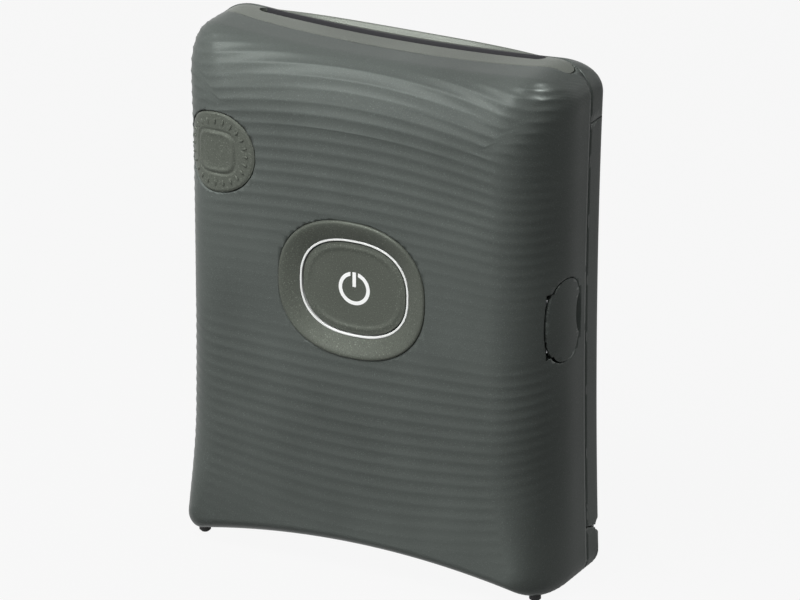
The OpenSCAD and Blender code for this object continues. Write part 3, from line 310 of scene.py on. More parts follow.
def circuit_board(name, base):
    """Solder mask over traces that run in steps, with small round vias."""
    s = Shade(name)
    lane = s.add("ShaderNodeTexBrick", {"offset": 0.37, "squash": 1.0},
                 Vector=s.moved((1, 1, 1), (math.pi / 2, 0, 0)), Scale=190.0, Mortar_Size=0.035,
                 Mortar_Smooth=0.1, Bias=0.0, Brick_Width=0.9, Row_Height=0.22)
    trace = Value(s, lane.outputs["Fac"])
    via = s.spread(s.cells(520), 0.16, 0.12)
    mask = trace.math("MAXIMUM", via)
    return s.principled(Base_Color=s.mix(mask, base, tone(base, 1.9)),
                        Roughness=0.34 + s.noise(700, 2) * 0.14, Normal=s.bump(mask, 0.3, 0.00004))


def felt_cloth(name, base):
    s = Shade(name)
    fibre = s.noise(3600, 4, 0.75)
    return s.principled(Base_Color=s.mix(s.spread(fibre, 0.3, 0.7), tone(base, 0.6), tone(base, 1.7)),
                        Roughness=0.95, Normal=s.bump(fibre, 0.7, 0.0002), Sheen_Weight=0.3)


def rubber(name, base):
    s = Shade(name)
    fine = s.noise(2400, 3, 0.6)
    wear = s.spread(s.noise(150, 2), 0.3, 0.7)
    return s.principled(Base_Color=s.mix(wear, tone(base, 0.8), tone(base, 1.3)),
                        Roughness=0.62 + fine * 0.16, Normal=s.bump(fine, 0.3, 0.0001))


def glowing_guide(name, base):
    s = Shade(name)
    drift = s.noise(300, 2)
    return s.principled(Base_Color=s.mix(drift, tone(base, 0.92), base),
                        Roughness=0.28 + s.noise(900, 2) * 0.1, Coat_Weight=0.2)


def clear_lens(name, base):
    s = Shade(name)
    ribs = s.noise(1500, 1, 0.5, s.moved((1, 0.02, 0.02)))
    return s.principled(Base_Color=s.mix(ribs, tone(base, 0.9), base), Roughness=0.06 + ribs * 0.05,
                        Transmission_Weight=0.85, IOR=1.49, Normal=s.bump(ribs, 0.2, 0.0001))


def paint(piece, material):
    piece.data.materials.clear()
    piece.data.materials.append(material)


def finish_named(name):
    """The material of that name, made on first use from the scene's finishes."""
    found = bpy.data.materials.get(name)
    if found:
        return found
    f = bpy.context.scene.printer_finishes
    makers = {
        "casing_paint": lambda: speckled_paint(name, f.casing, 0.12, 0.34, 0.6),
        "trim_paint": lambda: speckled_paint(name, f.trim, 0.2, 0.34, 0.9, flake=3600),
        "panel_paint": lambda: speckled_paint(name, f.panel, 0.22, 0.34, 0.5),
        "guide_white": lambda: glowing_guide(name, f.white),
        "symbol_white": lambda: moulded_plastic(name, f.white, 0.35),
        "black_moulding": lambda: moulded_plastic(name, f.black),
        "nylon": lambda: moulded_plastic(name, f.nylon, 0.42, 1200),
        "steel": lambda: brushed_steel(name, f.steel),
        "rubber": lambda: rubber(name, f.rubber),
        "felt": lambda: felt_cloth(name, f.felt),
        "board": lambda: circuit_board(name, f.board),
        "cell": lambda: brushed_steel(name, f.cell, (0, math.pi / 2, 0)),
        "flex": lambda: moulded_plastic(name, f.flex, 0.3, 700),
        "lens": lambda: clear_lens(name, f.lens),
    }
    return makers[name]()


SLOT_FINISH = {
    "casing_plastic": "casing_paint", "trim_plastic": "trim_paint", "panel_metallic": "panel_paint",
    "guide_clear": "guide_white", "symbol_white": "symbol_white", "black_plastic": "black_moulding",
    "gear_plastic": "nylon", "steel": "steel", "rubber": "rubber", "felt": "felt", "board": "board",
    "cell": "cell", "flex": "flex", "lens": "lens",
}


# ---- The body's surface ----


def smooth(t):
    t = min(max(t, 0.0), 1.0)
    return t * t * (3 - 2 * t)


def mix(a, b, t):
    return a + (b - a) * t


class BodyForm:
    """The body's outer surface: rounded outlines that close in over the front and the back."""

    def __init__(self, sizes):
        self.s = sizes
        self.front_y = sizes.ring_proud - sizes.depth / 2
        self.back_y = sizes.depth / 2
        self.half_w = sizes.width / 2
        self.half_h = (sizes.height - sizes.foot) / 2
        self.mid_z = sizes.foot + self.half_h
        self.seam_y = self.back_y - sizes.rear
        self.over_top = self.arc_table(sizes.front_top, sizes.front_top_d)
        self.over_bottom = self.arc_table(sizes.front_bottom, sizes.front_bottom_d)

    @staticmethod
    def arc_table(rise, deep, steps=90):
        """Length along a quarter ellipse beyond its rise, for each degree."""
        table, total = [0.0], 0.0
        for k in range(steps):
            a = math.pi / 2 * (k + 0.5) / steps
            total += math.hypot(rise * math.cos(a), deep * math.sin(a)) * math.pi / 2 / steps
            table.append(total - rise * math.sin(math.pi / 2 * (k + 1) / steps))
        return table

    def outline(self, side, s, top, bottom):
        """Point and normal on the rounded rectangle.

        Side 0 is right, 1 top, 2 left and 3 bottom, and s runs from -1 to 1 along it.
        """
        flip = -1 if side == 2 else 1
        w, h, q = self.half_w, self.half_h, math.pi / 4
        if side in (0, 2):
            low, straight, high = bottom * q, 2 * h - bottom - top, top * q
            t = (s + 1) / 2 * (low + straight + high)
            if t < low:
                a = -q + t / bottom
                n = (math.cos(a), math.sin(a))
                x, z = w - bottom + bottom * n[0], bottom - h + bottom * n[1]
            elif t <= low + straight:
                x, z, n = w, bottom - h + t - low, (1.0, 0.0)
            else:
                a = (t - low - straight) / top
                n = (math.cos(a), math.sin(a))
                x, z = w - top + top * n[0], h - top + top * n[1]
            return (flip * x, z), (flip * n[0], n[1])
        r, up = (top, 1) if side == 1 else (bottom, -1)
        arc, straight = r * q, 2 * (w - r)
        t = (s + 1) / 2 * (2 * arc + straight)
        if t < arc:
            a = 3 * q - t / r
            x, n = r - w + r * math.cos(a), (math.cos(a), math.sin(a))
            z = h - r + r * math.sin(a)
        elif t <= arc + straight:
            x, z, n = r - w + t - arc, h, (0.0, 1.0)
        else:
            a = 2 * q - (t - arc - straight) / r
            x, n = w - r + r * math.cos(a), (math.cos(a), math.sin(a))
            z = h - r + r * math.sin(a)
        return (x, up * z), (n[0], up * n[1])

    @staticmethod
    def by_normal(n, side, top, bottom):
        return side * n[0] ** 2 + (top if n[1] > 0 else bottom) * n[1] ** 2

    def side_round(self, z):
        s = self.s
        near_corner = smooth(-(z + self.half_h - s.corner_reach) / s.corner_reach)
        return mix(s.front_side, s.front_corner, near_corner)

    def bowed(self, x, z):
        s, low = self.s, z < 0
        left = 1 - (z / (self.half_h - s.corner_bottom)) ** 2
        sag = (s.bottom_arch if low else s.top_sag) * (
            1 - (x / (self.half_w - (s.corner_bottom if low else s.corner_top))) ** 2)
        return x * (1 - max(s.side_bow * left, 0)), min(z - sag * z / self.half_h, self.half_h)

    def front_point(self, side, s, ph):
        """Point on the front round-over, ph from 0 at the front face to a quarter turn at the side."""
        z = self.s
        grow = 1 - math.sin(ph)
        p, n = self.outline(side, s, z.corner_top + z.corner_top_grow * grow,
                            z.corner_bottom + z.corner_bottom_grow * grow)
        inset = self.by_normal(n, self.side_round(p[1]), z.front_top, z.front_bottom) * grow
        deep = self.by_normal(n, z.front_side_d, z.front_top_d, z.front_bottom_d)
        x, up = self.bowed(p[0] - n[0] * inset, p[1] - n[1] * inset)
        return Vector((x, self.front_y + deep * (1 - math.cos(ph)), self.mid_z + up)), n

    def back_point(self, side, s, y):
        """Point on the straight wall or the back round-over at a depth."""
        z = self.s
        p, n = self.outline(side, s, z.corner_top, z.corner_bottom)
        deep = self.by_normal(n, z.back_side_d, z.back_top_d, z.back_bottom_d)
        c = min(max(1 - (self.back_y - y) / deep, 0.0), 1.0)
        inset = self.by_normal(n, z.back_side, z.back_top, z.back_bottom) * (1 - math.sqrt(1 - c * c))
        x, up = self.bowed(p[0] - n[0] * inset, p[1] - n[1] * inset)
        return Vector((x, y, self.mid_z + up)), n

    def top_height(self, x, y, halvings=26):
        """Height of the body's top behind the front round-over at a place."""
        low, high = -1.0, 1.0
        for _ in range(halvings):
            s = (low + high) / 2
            if self.back_point(1, s, y)[0].x < x:
                low = s
            else:
                high = s
        return self.back_point(1, (low + high) / 2, y)[0].z

    def back_round(self, side, s, ph):
        """Point on the back round-over, ph from 0 at the back face to a quarter turn at the side."""
        z = self.s
        p, n = self.outline(side, s, z.corner_top, z.corner_bottom)
        deep = self.by_normal(n, z.back_side_d, z.back_top_d, z.back_bottom_d)
        inset = self.by_normal(n, z.back_side, z.back_top, z.back_bottom) * (1 - math.sin(ph))
        x, up = self.bowed(p[0] - n[0] * inset, p[1] - n[1] * inset)
        return Vector((x, self.back_y - deep * (1 - math.cos(ph)), self.mid_z + up))


def square_place(u, v):
    """A place on the square [-1, 1]: its distance from the middle, the side it faces, the share along it."""
    reach = max(abs(u), abs(v), 1e-9)
    if abs(u) >= abs(v):
        return reach, (0 if u > 0 else 2), v / reach
    return reach, (1 if v > 0 else 3), u / reach


# Where the flat face and the round-over end on the square, from its middle to its edge
FLAT_PART = 0.6
ROUND_PART = 0.9
BACK_FLAT_PART = 0.5


def flat_place(form, u, v):
    """A place on the flat face, blended from its four edges so that rows and columns run evenly."""
    def edge(side, s):
        return form.front_point(side, s, 0.0)[0]
    right, left = edge(0, v) * (1 + u) / 2, edge(2, v) * (1 - u) / 2
    top, bottom = edge(1, u) * (1 + v) / 2, edge(3, u) * (1 - v) / 2
    corners = Vector((0, 0, 0))
    for i in (-1, 1):
        for j in (-1, 1):
            corners += edge(1 if j > 0 else 3, i) * ((1 + i * u) * (1 + j * v) / 4)
    return right + left + top + bottom - corners


def front_sheet(form, u, v, last_y):
    """Surface point for a place on the square: the flat face, its round-over and the wall to last_y."""
    reach, side, s = square_place(u, v)
    if reach <= FLAT_PART:
        return flat_place(form, u / FLAT_PART, v / FLAT_PART), 0.0, (0.0, math.copysign(1.0, v))
    if reach <= ROUND_PART:
        ph = math.pi / 2 * (reach - FLAT_PART) / (ROUND_PART - FLAT_PART)
        p, n = form.front_point(side, s, ph)
        return p, ph, n
    p, n = form.front_point(side, s, math.pi / 2)
    y = mix(p.y, last_y, (reach - ROUND_PART) / (1 - ROUND_PART))
    return form.back_point(side, s, y)[0], math.pi / 2, n


def back_sheet(form, u, v, last_y):
    """Surface point for a place on the square: the flat back, its round-over and the wall to last_y."""
    reach, side, s = square_place(u, v)
    if reach <= BACK_FLAT_PART:
        p = form.back_round(side, s, 0.0)
        k = reach / BACK_FLAT_PART
        return Vector((p.x * k, p.y, form.mid_z + (p.z - form.mid_z) * k))
    if reach <= ROUND_PART:
        ph = math.pi / 2 * (reach - BACK_FLAT_PART) / (ROUND_PART - BACK_FLAT_PART)
        p = form.back_round(side, s, ph)
        if p.y < last_y:
            return form.back_point(side, s, last_y)[0]
        return p
    p = form.back_round(side, s, math.pi / 2)
    y = mix(max(p.y, last_y), last_y, (reach - ROUND_PART) / (1 - ROUND_PART))
    return form.back_point(side, s, y)[0]


def ripple_depth(form, sizes, p, ph, n):
    """How deep the scalloped ripples lie under the surface at a point."""
    rise = p.z - form.mid_z
    table = form.over_top if n[1] > 0 else form.over_bottom
    extra = table[min(int(math.degrees(ph)), 90)] * n[1] ** 2
    level = p.z + (extra if n[1] > 0 else -extra) - sizes.middle
    phase = level * (1 + sizes.spread * p.x * p.x) / sizes.pitch
    phase -= math.floor(phase)
    # Strong above the button, faint beside it, stronger again below it and gone at the foot
    up = smooth((rise - 0.004) / 0.034)
    low = smooth((0.002 - rise) / 0.014) * smooth((rise + 0.062) / 0.026)
    strength = max(0.16 + 0.84 * up, 0.75 * low) * smooth((rise + 0.066) / 0.014)
    # They fade where the surface turns away at the sides, at the top and sooner at the bottom
    turned = math.degrees(ph)
    side = 1 - 0.8 * smooth((turned * n[0] ** 2 - 52) / 34)
    fade = (turned * n[1] ** 2 - 55) / 25 if n[1] > 0 else turned * n[1] ** 2 / 30
    over = 1 - smooth(fade)
    return sizes.deep * strength * side * over * (1 - (2 * phase - 1) ** 2)


# ---- Mesh tools ----


def sheet_mesh(columns, rows, place):
    """A grid whose every vertex moves to place(u, v), u and v from -1 to 1."""
    bm = bmesh.new()
    bmesh.ops.create_grid(bm, x_segments=columns, y_segments=rows, size=1.0)
    for vert in bm.verts:
        vert.co = place(vert.co.x, vert.co.y)
    return bm


def wrapped(around, along, place):
    """A closed band: place(turn, t), turn from 0 to 1 round it and t from 0 to 1 along its profile."""
    bm = sheet_mesh(around, along, lambda u, v: place((u + 1) / 2, (v + 1) / 2))
    bmesh.ops.remove_doubles(bm, verts=bm.verts, dist=MERGE)
    return bm


def close_loops(bm):
    """Fills each open edge loop with one face."""
    loose = [e for e in bm.edges if e.is_boundary]
    bmesh.ops.holes_fill(bm, edges=loose, sides=0)


def face_out(bm):
    bmesh.ops.recalc_face_normals(bm, faces=bm.faces)


def closed_piece(bm, name, sharp):
    """A piece from a mesh whose open ends are filled first."""
    close_loops(bm)
    face_out(bm)
    return piece_from(bm, name, sharp)


def piece_from(bm, name, sharp=None):
    """A piece from a mesh, shaded smooth up to the angle sharp, or flat without one."""
    mesh = bpy.data.meshes.new(name)
    bm.to_mesh(mesh)
    bm.free()
    piece = bpy.data.objects.new(name, mesh)
    bpy.context.scene.collection.objects.link(piece)
    if sharp is not None:
        round_shading(piece, sharp)
    return piece


def round_shading(piece, sharp):
    mesh = piece.data
    mesh.polygons.foreach_set("use_smooth", [True] * len(mesh.polygons))
    mesh.set_sharp_from_angle(angle=math.radians(sharp))


def flatten_inside(piece, trees, near=0.0005):
    """Shades the faces that don't lie in the outer skin flat, because their long triangles blotch."""
    for face in piece.data.polygons:
        if all(tree.find_nearest(face.center, near)[0] is None for tree in trees):
            face.use_smooth = False


def carve(piece, tool, operation="DIFFERENCE", keep_tool=False):
    """Applies a boolean with another piece, which then goes unless it is kept."""
    modifier = piece.modifiers.new("carve", "BOOLEAN")
    modifier.operation, modifier.object, modifier.solver = operation, tool, "MANIFOLD"
    bpy.context.view_layer.update()
    depsgraph = bpy.context.evaluated_depsgraph_get()
    result = bpy.data.meshes.new_from_object(piece.evaluated_get(depsgraph), depsgraph=depsgraph)
    piece.modifiers.clear()
    old, name = piece.data, piece.data.name
    piece.data = result
    bpy.data.meshes.remove(old)
    result.name = name
    if not len(result.polygons):
        raise RuntimeError(f"{operation} left nothing of {piece.name}")
    if not keep_tool:
        drop(tool)
    return piece


def drop(piece):
    mesh = piece.data
    bpy.data.objects.remove(piece)
    bpy.data.meshes.remove(mesh)


def node_mesh(node):
    """A merged copy of a frame node's mesh."""
    bm = bmesh.new()
    bm.from_mesh(frame["nodes"][node].data)
    bmesh.ops.remove_doubles(bm, verts=bm.verts, dist=NODE_MERGE)
    return bm


def place_piece(piece, body, slot, *nodes):
    """Rides a finished piece on its body, paints it with its slot's finish and lets it stand for its nodes.
    """
    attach(piece, body)
    paint(piece, finish_named(SLOT_FINISH[slot]))
    if nodes:
        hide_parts(*nodes)


def squircle(width, height, turn, power):
    """Place at a share of the turn round a rounded square, whose corners grow square with its power."""
    a = 2 * math.pi * turn
    # The angle is warped so that points lie evenly along the sides
    a -= 0.11 * (power - 2) * math.sin(4 * a)
    c, s = math.cos(a), math.sin(a)
    return (width / 2 * math.copysign(abs(c) ** (2 / power), c),
            height / 2 * math.copysign(abs(s) ** (2 / power), s))


# ---- Operators ----


def fine_blocks(form, ripples):
    """The fine front half with its ripples, the fine back half, and a search tree of the plain surface."""
    front = sheet_mesh(*FRONT_GRID, lambda u, v: Vector((u, v, 0)))
    facts = []
    for vert in front.verts:
        p, ph, n = front_sheet(form, vert.co.x, vert.co.y, form.seam_y + SEAM_LAP)
        vert.co = p
        facts.append((vert, p, ph, n))
    face_out_front(front)
    front.normal_update()
    smooth_tree = BVHTree.FromBMesh(front)
    moves = [(vert, vert.normal * ripple_depth(form, ripples, p, ph, n)) for vert, p, ph, n in facts
             if not vert.is_boundary]
    for vert, move in moves:
        vert.co -= move
    close_loops(front)
    face_out(front)
    back = sheet_mesh(*BACK_GRID, lambda u, v: back_sheet(form, u, v, form.seam_y - SEAM_LAP))
    bmesh.ops.remove_doubles(back, verts=back.verts, dist=MERGE)
    face_out_front(back)
    back.normal_update()
    back_tree = BVHTree.FromBMesh(back)
    close_loops(back)
    face_out(back)
    return front, back, (smooth_tree, back_tree)


def face_out_front(bm):
    """Turns an open sheet's faces away from the body's middle."""
    bmesh.ops.recalc_face_normals(bm, faces=bm.faces)
    centre = Vector((0, 0, 0.064))
    sample = max(bm.faces, key=lambda f: abs((f.calc_center_median() - centre).y))
    if sample.normal.dot(sample.calc_center_median() - centre) < 0:
        bmesh.ops.reverse_faces(bm, faces=bm.faces)


def pushed_copy(node, trees, name, seam=None, push=0.0004, near=0.00016, close_up=0.00022):
    """A node's copy whose outer skin is moved out a little, so that a finer surface can trim it.

    A cover fixed to the front shell gets its front edge, at the depth seam, moved up close to it.
    """
    bm = node_mesh(node)
    for vert in bm.verts:
        if seam is not None and abs(vert.co.y - seam) < 2 * MERGE:
            vert.co.y -= close_up
        hits = [tree.find_nearest(vert.co, near) for tree in trees]
        hits = [h for h in hits if h[0] is not None]
        if hits:
            best = min(hits, key=lambda h: h[3])
            vert.co += best[1] * push
    return piece_from(bm, name)


class PRINTER_OT_casing(Operator):
    """Front shell with its ripples, rear covers, film door and port cover"""

    bl_idname = "printer.casing"
    bl_label = "Casing"

    def execute(self, context):
        scene = context.scene
        form = BodyForm(scene.printer_casing)
        front, back, trees = fine_blocks(form, scene.printer_ripples)
        front = piece_from(front, "fine_front")
        back = piece_from(back, "fine_back")
        for node, tool, body in (
                ("front_shell", front, "casing"), ("port_cover", front, "port_cover"),
                ("top_rear_cover", back, "casing"), ("bottom_rear_cover", back, "casing"),
                ("film_door", back, "film_door")):
            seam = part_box(node)[0].y if node.endswith("rear_cover") else None
            # Only the two fixed covers close up to the front shell
            piece = pushed_copy(node, trees, "casing_" + node, seam)
            carve(piece, tool, "INTERSECT", keep_tool=True)
            round_shading(piece, SKIN_CREASE)
            if node == "film_door":
                flatten_inside(piece, trees)
            place_piece(piece, body, "casing_plastic", node)
        drop(front)
        drop(back)
        return {"FINISHED"}


class PRINTER_OT_power_button(Operator):
    """Trim ring that slopes in, light guide and power button with a soft ridge"""

    bl_idname = "printer.power_button"
    bl_label = "Power button"

    def execute(self, context):
        sizes, casing = context.scene.printer_front, context.scene.printer_casing
        face = -casing.depth / 2
        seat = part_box("power_ring")[1].y
        inner = face + sizes.ring_slope
        b = sizes.ring_band

        def band(profile, around=224):
            """A band round the button whose profile is a list of inset and depth."""
            steps = len(profile) - 1

            def place(turn, t):
                inset, y = profile[round(t * steps)]
                power = mix(2.3, 2.42, min(inset / b, 1.0))
                x, z = squircle(sizes.ring_w - 2 * inset, sizes.ring_h - 2 * inset, turn, power)
                return Vector((x, y, sizes.ring_z + z))
            return wrapped(around, steps, place)

        # Outer edge, slope and inner edge of the ring
        rim, steps = 0.0006, 12
        edge = [(rim * (1 - math.cos(a)), face + rim * (1 - math.sin(a)))
                for a in (0.0, 0.4, 0.8, 1.2, math.pi / 2)]
        slope = [(mix(rim + 0.0003, b - 0.0002, k / steps), mix(face + 0.00004, inner, (k / steps) ** 1.2))
                 for k in range(steps + 1)]
        profile = [(0, seat), *edge, *slope, (b - 0.00005, inner + 0.00008), (b, inner + 0.0002), (b, seat),
                   (0, seat)]
        piece = closed_piece(band(profile), "power_trim_ring", CREASE)
        place_piece(piece, "casing", "trim_plastic", "power_ring")

        inner += 0.00005
        start, low = b + 0.00005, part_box("light_guide")[1].y
        end, bevel = start + sizes.guide_band, 0.00008
        guide = [(start, low), (start, inner + bevel), (start + bevel, inner), (end - bevel, inner),
                 (end, inner + bevel), (end, low), (start, low)]
        piece = closed_piece(band(guide), "power_light_ring", CREASE)
        place_piece(piece, "casing", "guide_clear", "light_guide")

        # The cap lies a little deeper inside its ridge than outside it
        start, step, flat_from = end + sizes.button_gap, 0.00022, 0.007
        ridge, wide, high = 0.00135, 0.00062, 0.00022
        outside, deep = 0.00018, 0.00025
        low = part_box("power_button")[1].y
        cap = [(start, low), (start, inner + 0.0004), (start + 0.0001, inner + 0.0002)]
        for k in range(1, 20):
            inset = step * k
            level = deep if inset > ridge else mix(outside, deep, inset / ridge)
            cap.append((start + inset, inner + level - high * math.exp(-((inset - ridge) / wide) ** 2)))
        cap.append((start + flat_from, inner + deep))
        piece = closed_piece(band(cap), "power_cap", CREASE)
        place_piece(piece, "power_button", "trim_plastic", "power_button")
        return {"FINISHED"}


class PRINTER_OT_function_button(Operator):
    """Function button that follows the casing, with its pad and raised ticks"""

    bl_idname = "printer.function_button"
    bl_label = "Function button"

    def execute(self, context):
        sizes = context.scene.printer_front
        form = BodyForm(context.scene.printer_casing)
        radius = sizes.function_dia / 2
        proud = 0.00015
        place_y = form.front_y + math.sin(sizes.function_tilt) * radius - proud
        turn = (Matrix.Translation((-sizes.function_x, place_y, sizes.function_z))
                @ Matrix.Rotation(-sizes.function_tilt, 4, "Z") @ Matrix.Rotation(math.pi / 2, 4, "X"))
        axis = turn.to_3x3() @ Vector((0, 0, 1))
        sheet = sheet_mesh(300, 120, lambda u, v: front_sheet(form, u, v, form.seam_y)[0])
        tree = BVHTree.FromBMesh(sheet)
        sheet.free()
        over = 0.02
        pad_r, power, groove_w, groove = 0.0052, 3.4, 0.0006, 0.0002
        rise, rise_in, rise_w = 0.00016, 0.0008, 0.0005
        edge_w, edge_drop, skirt = 0.0005, 0.00025, 0.0024

        def height(x, y):
            """Height of the face over its rim's plane: the casing's surface with a pad and a groove."""
            r = math.hypot(x, y)
            up = over - tree.ray_cast(turn @ Vector((x, y, over)), -axis)[3] - sizes.function_sink
            pad = ((abs(x) / pad_r) ** power + (abs(y) / pad_r) ** power) ** (1 / power)
            up -= groove * smooth(max(0.0, 1 - abs(pad - 1) * pad_r / groove_w))
            if pad < 1:
                up += rise * math.exp(-(((1 - pad) * pad_r - rise_in) / rise_w) ** 2)
            return up - edge_drop * smooth((r - radius + edge_w) / edge_w)

        rings = 64

        def place(turned, t):
            a = 2 * math.pi * turned
            if t > 1 - 1.5 / rings:
                return Vector((radius * math.cos(a), radius * math.sin(a), -skirt))
            r = radius * min(t / (1 - 2 / rings), 1.0)
            x, y = r * math.cos(a), r * math.sin(a)
            return Vector((x, y, height(x, y)))
        bm = wrapped(160, rings, place)
        close_loops(bm)
        ring_r, tick_size = radius - 0.0022, (0.0016, 0.0007, 0.0005)
        for i in range(sizes.ticks):
            a = 2 * math.pi * i / sizes.ticks
            made = bmesh.ops.create_uvsphere(bm, u_segments=16, v_segments=8, radius=0.5)["verts"]
            bmesh.ops.scale(bm, vec=tick_size, verts=made)
            x, y = ring_r * math.cos(a), ring_r * math.sin(a)
            spot = Matrix.Translation((x, y, height(x, y))) @ Matrix.Rotation(a, 4, "Z")
            bmesh.ops.transform(bm, matrix=spot, verts=made)
        bmesh.ops.transform(bm, matrix=turn, verts=bm.verts)
        piece = closed_piece(bm, "function_cap", SKIN_CREASE)
        place_piece(piece, "function_button", "trim_plastic", "function_button")
        return {"FINISHED"}


class PRINTER_OT_film_exit(Operator):
    """Metallic top panel with the film slot, the lip behind it, its brush and a dark ramp of painted shade in
    front of it
    """

    bl_idname = "printer.film_exit"
    bl_label = "Film exit"

    def execute(self, context):
        scene = context.scene
        sizes, form = scene.printer_exit, BodyForm(scene.printer_casing)

        around, rings = 240, 40
        edge, bevel, drop_by, sink, skirt = 0.00006, 0.0004, 0.00022, 0.00003, 0.0008
        round_w, round_drop = 0.0012, 0.3
        slot_back = sizes.film_y + sizes.slot_w / 2
        # The slot is cut wider to the front by the lead, so that the dark ramp of painted shade shows in it
        slot_front = sizes.film_y - sizes.slot_w / 2 - sizes.lead
        top = form.mid_z + form.half_h
        level = top - 0.00012
        lip_end = sizes.slot_l / 2 + 0.0055

        def place(turned, t):
            k = min(t / (1 - 1 / rings), 1.0)
            x, y = squircle(sizes.panel_l - 2 * edge, sizes.panel_w - 2 * edge, turned, 3.2)
            # Rings close up to the panel's edge, which the last ones round over
            k = 1 - (1 - k) ** 1.6
            near = (1 - k) * sizes.panel_w / 2
            x, y = x * k, sizes.panel_y + y * k
            plain = form.top_height(x, y)
            if t > 1 - 0.5 / rings:
                return Vector((x, y, plain - skirt))
            # Behind the slot the panel rises to a straight lip
            lip = smooth((y - slot_back + 0.0005) / 0.0016) * smooth((lip_end - abs(x)) / 0.006)
            rise = lip * max(level - round_drop * max(round_w - near, 0) - plain, 0)
            return Vector((x, y, plain + rise - sink - drop_by * max(1 - near / bevel, 0) ** 2))
        piece = closed_piece(wrapped(around, rings, place), "top_panel_skin", SKIN_CREASE)
        tool = bmesh.new()
        half = (slot_back - slot_front) / 2
        middle = Matrix.Translation((0, (slot_front + slot_back) / 2, top))
        made = bmesh.ops.create_cone(tool, cap_ends=True, segments=48, radius1=half, radius2=half, depth=0.02,
                                     matrix=middle)["verts"]
        for vert in made:
            vert.co.x += math.copysign(sizes.slot_l / 2 - half, vert.co.x)
        face_out(tool)
        carve(piece, piece_from(tool, "slot_tool"))
        round_shading(piece, SKIN_CREASE)
        place_piece(piece, "casing", "panel_metallic", "top_panel")

        # Each strip's front and back edge, its underside and top against the body's top, and if it is level
        lap = 0.00005
        for name, front, back, low, high, flat in (
                ("slot_brush", slot_back - 0.00028, slot_back + 0.00002, -0.002, 0.00012, True),
                # The ramp is a sheet in the felt's black: painted shade in the slot's lead-in
                ("slot_shade_ramp", slot_front - lap, slot_front + sizes.lead - lap, -0.00105, -0.0008, False)):
            corners = ((front, low), (back, low), (back, high), (front, high))
            reach = sizes.slot_l - 0.001

            def strip(turned, t):
                x = (t - 0.5) * reach
                y, up = corners[round(turned * 4) % 4]
                return Vector((x, y, form.top_height(x, slot_back if flat else y) + up))
            place_piece(closed_piece(wrapped(4, 90, strip), name, SKIN_CREASE), "casing", "felt")
        return {"FINISHED"}


class PRINTER_OT_inner_parts(Operator):
    """Finishes of the pieces that keep their frame shapes"""

    bl_idname = "printer.inner_parts"
    bl_label = "Inner parts"

    def execute(self, context):
        slots = {row["node"]: row["material_slot"] for row in frame["record"]["subparts"]}
        for node, piece in frame["nodes"].items():
            paint(piece, finish_named(SLOT_FINISH[slots[node]]))
        return {"FINISHED"}


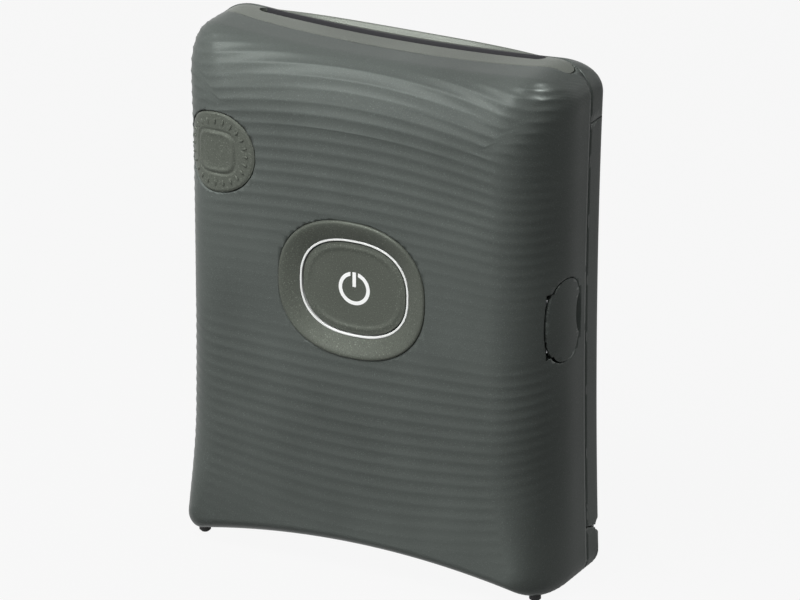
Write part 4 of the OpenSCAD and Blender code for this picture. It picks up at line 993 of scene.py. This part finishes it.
class PRINTER_OT_stage(Operator):
    """Pale floor, soft studio lamps and the camera at the photograph's angle"""

    bl_idname = "printer.stage"
    bl_label = "Stage"

    def execute(self, context):
        scene = context.scene
        s = Shade("stage_white")
        path = s.add("ShaderNodeLightPath")
        seen = Value(s, path.outputs["Is Camera Ray"])
        for ray in ("Is Glossy Ray", "Is Transmission Ray"):
            seen = seen.math("MAXIMUM", Value(s, path.outputs[ray]))
        diffuse = s.add("ShaderNodeBsdfDiffuse", None, Color=(0.16, 0.16, 0.16, 1))
        glow = s.add("ShaderNodeEmission", None, Color=(1, 1, 1, 1), Strength=1.0)
        blend = s.add("ShaderNodeMixShader", None, Fac=seen * 0.92)
        s.tree.links.new(diffuse.outputs[0], blend.inputs[1])
        s.tree.links.new(glow.outputs[0], blend.inputs[2])
        out = s.add("ShaderNodeOutputMaterial")
        s.tree.links.new(blend.outputs[0], out.inputs["Surface"])
        bm = bmesh.new()
        bmesh.ops.create_circle(bm, cap_ends=True, segments=96, radius=3.0)
        floor = piece_from(bm, "floor")
        paint(floor, s.material)

        world = bpy.data.worlds.new("studio")
        scene.world = world
        world.use_nodes = True
        nodes, links = world.node_tree.nodes, world.node_tree.links
        nodes.clear()
        light = nodes.new("ShaderNodeLightPath")
        plain = nodes.new("ShaderNodeBackground")
        white = nodes.new("ShaderNodeBackground")
        for shader, strength in ((plain, 0.1), (white, 1.0)):
            shader.inputs["Color"].default_value = (1, 1, 1, 1)
            shader.inputs["Strength"].default_value = strength
        seen_by = light.outputs["Is Camera Ray"]
        for ray in ("Is Glossy Ray", "Is Transmission Ray"):
            either = nodes.new("ShaderNodeMath")
            either.operation = "MAXIMUM"
            links.new(seen_by, either.inputs[0])
            links.new(light.outputs[ray], either.inputs[1])
            seen_by = either.outputs[0]
        blend = nodes.new("ShaderNodeMixShader")
        out = nodes.new("ShaderNodeOutputWorld")
        links.new(seen_by, blend.inputs[0])
        links.new(plain.outputs[0], blend.inputs[1])
        links.new(white.outputs[0], blend.inputs[2])
        links.new(blend.outputs[0], out.inputs[0])

        aim = Vector((0, 0, 0.06375))

        def lamp(name, place, width, height, power):
            """A soft rectangular lamp that faces the body's middle."""
            data = bpy.data.lights.new(name, "AREA")
            data.shape, data.size, data.size_y, data.energy = "RECTANGLE", width, height, power
            lamp_object = bpy.data.objects.new(name, data)
            scene.collection.objects.link(lamp_object)
            lamp_object.location = place
            lamp_object.rotation_euler = (aim - Vector(place)).to_track_quat("-Z", "Y").to_euler()
            return lamp_object
        lamp("lamp_above", (-0.12, -0.36, 0.62), 0.5, 0.3, 5.5)
        lamp("lamp_front", (-0.3, -0.8, 0.28), 0.5, 0.25, 2.0)
        lamp("lamp_back", (0.45, 0.85, 0.2), 0.2, 0.6, 1.0)
        # This one shows only as a highlight, on the upper right corner
        lamp("lamp_right", (0.51, 0.08, 0.68), 0.15, 0.15, 9).visible_diffuse = False

        # Fitted to the outline of the body in the photograph
        turn, lift, away = math.radians(27.68), math.radians(21.63), 1.6889
        camera = bpy.data.cameras.new("camera")
        camera.lens, camera.sensor_width = 327.0, 36.0
        camera.shift_x, camera.shift_y = 0.0193, 0.0010
        camera.clip_end = 20
        viewer = bpy.data.objects.new("camera", camera)
        scene.collection.objects.link(viewer)
        viewer.location = aim + Vector((math.sin(turn) * math.cos(lift), -math.cos(turn) * math.cos(lift),
                                        math.sin(lift))) * away
        viewer.rotation_euler = (aim - viewer.location).to_track_quat("-Z", "Y").to_euler()
        scene.camera = viewer
        scene.view_settings.view_transform = "Standard"
        return {"FINISHED"}


OPERATORS = (PRINTER_OT_inner_parts, PRINTER_OT_casing, PRINTER_OT_power_button, PRINTER_OT_function_button,
             PRINTER_OT_film_exit, PRINTER_OT_stage)


class PRINTER_PT_sidebar(Panel):
    """Lists the printer's pieces"""

    bl_idname = "PRINTER_PT_sidebar"
    bl_label = "Photo printer"
    bl_space_type = "VIEW_3D"
    bl_region_type = "UI"
    bl_category = "Photo printer"

    def draw(self, context):
        for operator in OPERATORS:
            self.layout.operator(operator.bl_idname)


GROUPS = {"printer_casing": CasingSizes, "printer_ripples": RippleSizes, "printer_front": FrontSizes,
          "printer_exit": ExitSizes, "printer_finishes": Finishes}


def register():
    for group in GROUPS.values():
        bpy.utils.register_class(group)
    for name, group in GROUPS.items():
        setattr(bpy.types.Scene, name, PointerProperty(type=group))
    for item in (*OPERATORS, PRINTER_PT_sidebar):
        bpy.utils.register_class(item)


def unregister():
    for item in (PRINTER_PT_sidebar, *reversed(OPERATORS)):
        bpy.utils.unregister_class(item)
    for name, group in GROUPS.items():
        delattr(bpy.types.Scene, name)
        bpy.utils.unregister_class(group)


def main():
    register()
    for operator in OPERATORS:
        group, action = operator.bl_idname.split(".")
        getattr(getattr(bpy.ops, group), action)()


if __name__ == "__main__":
    main()
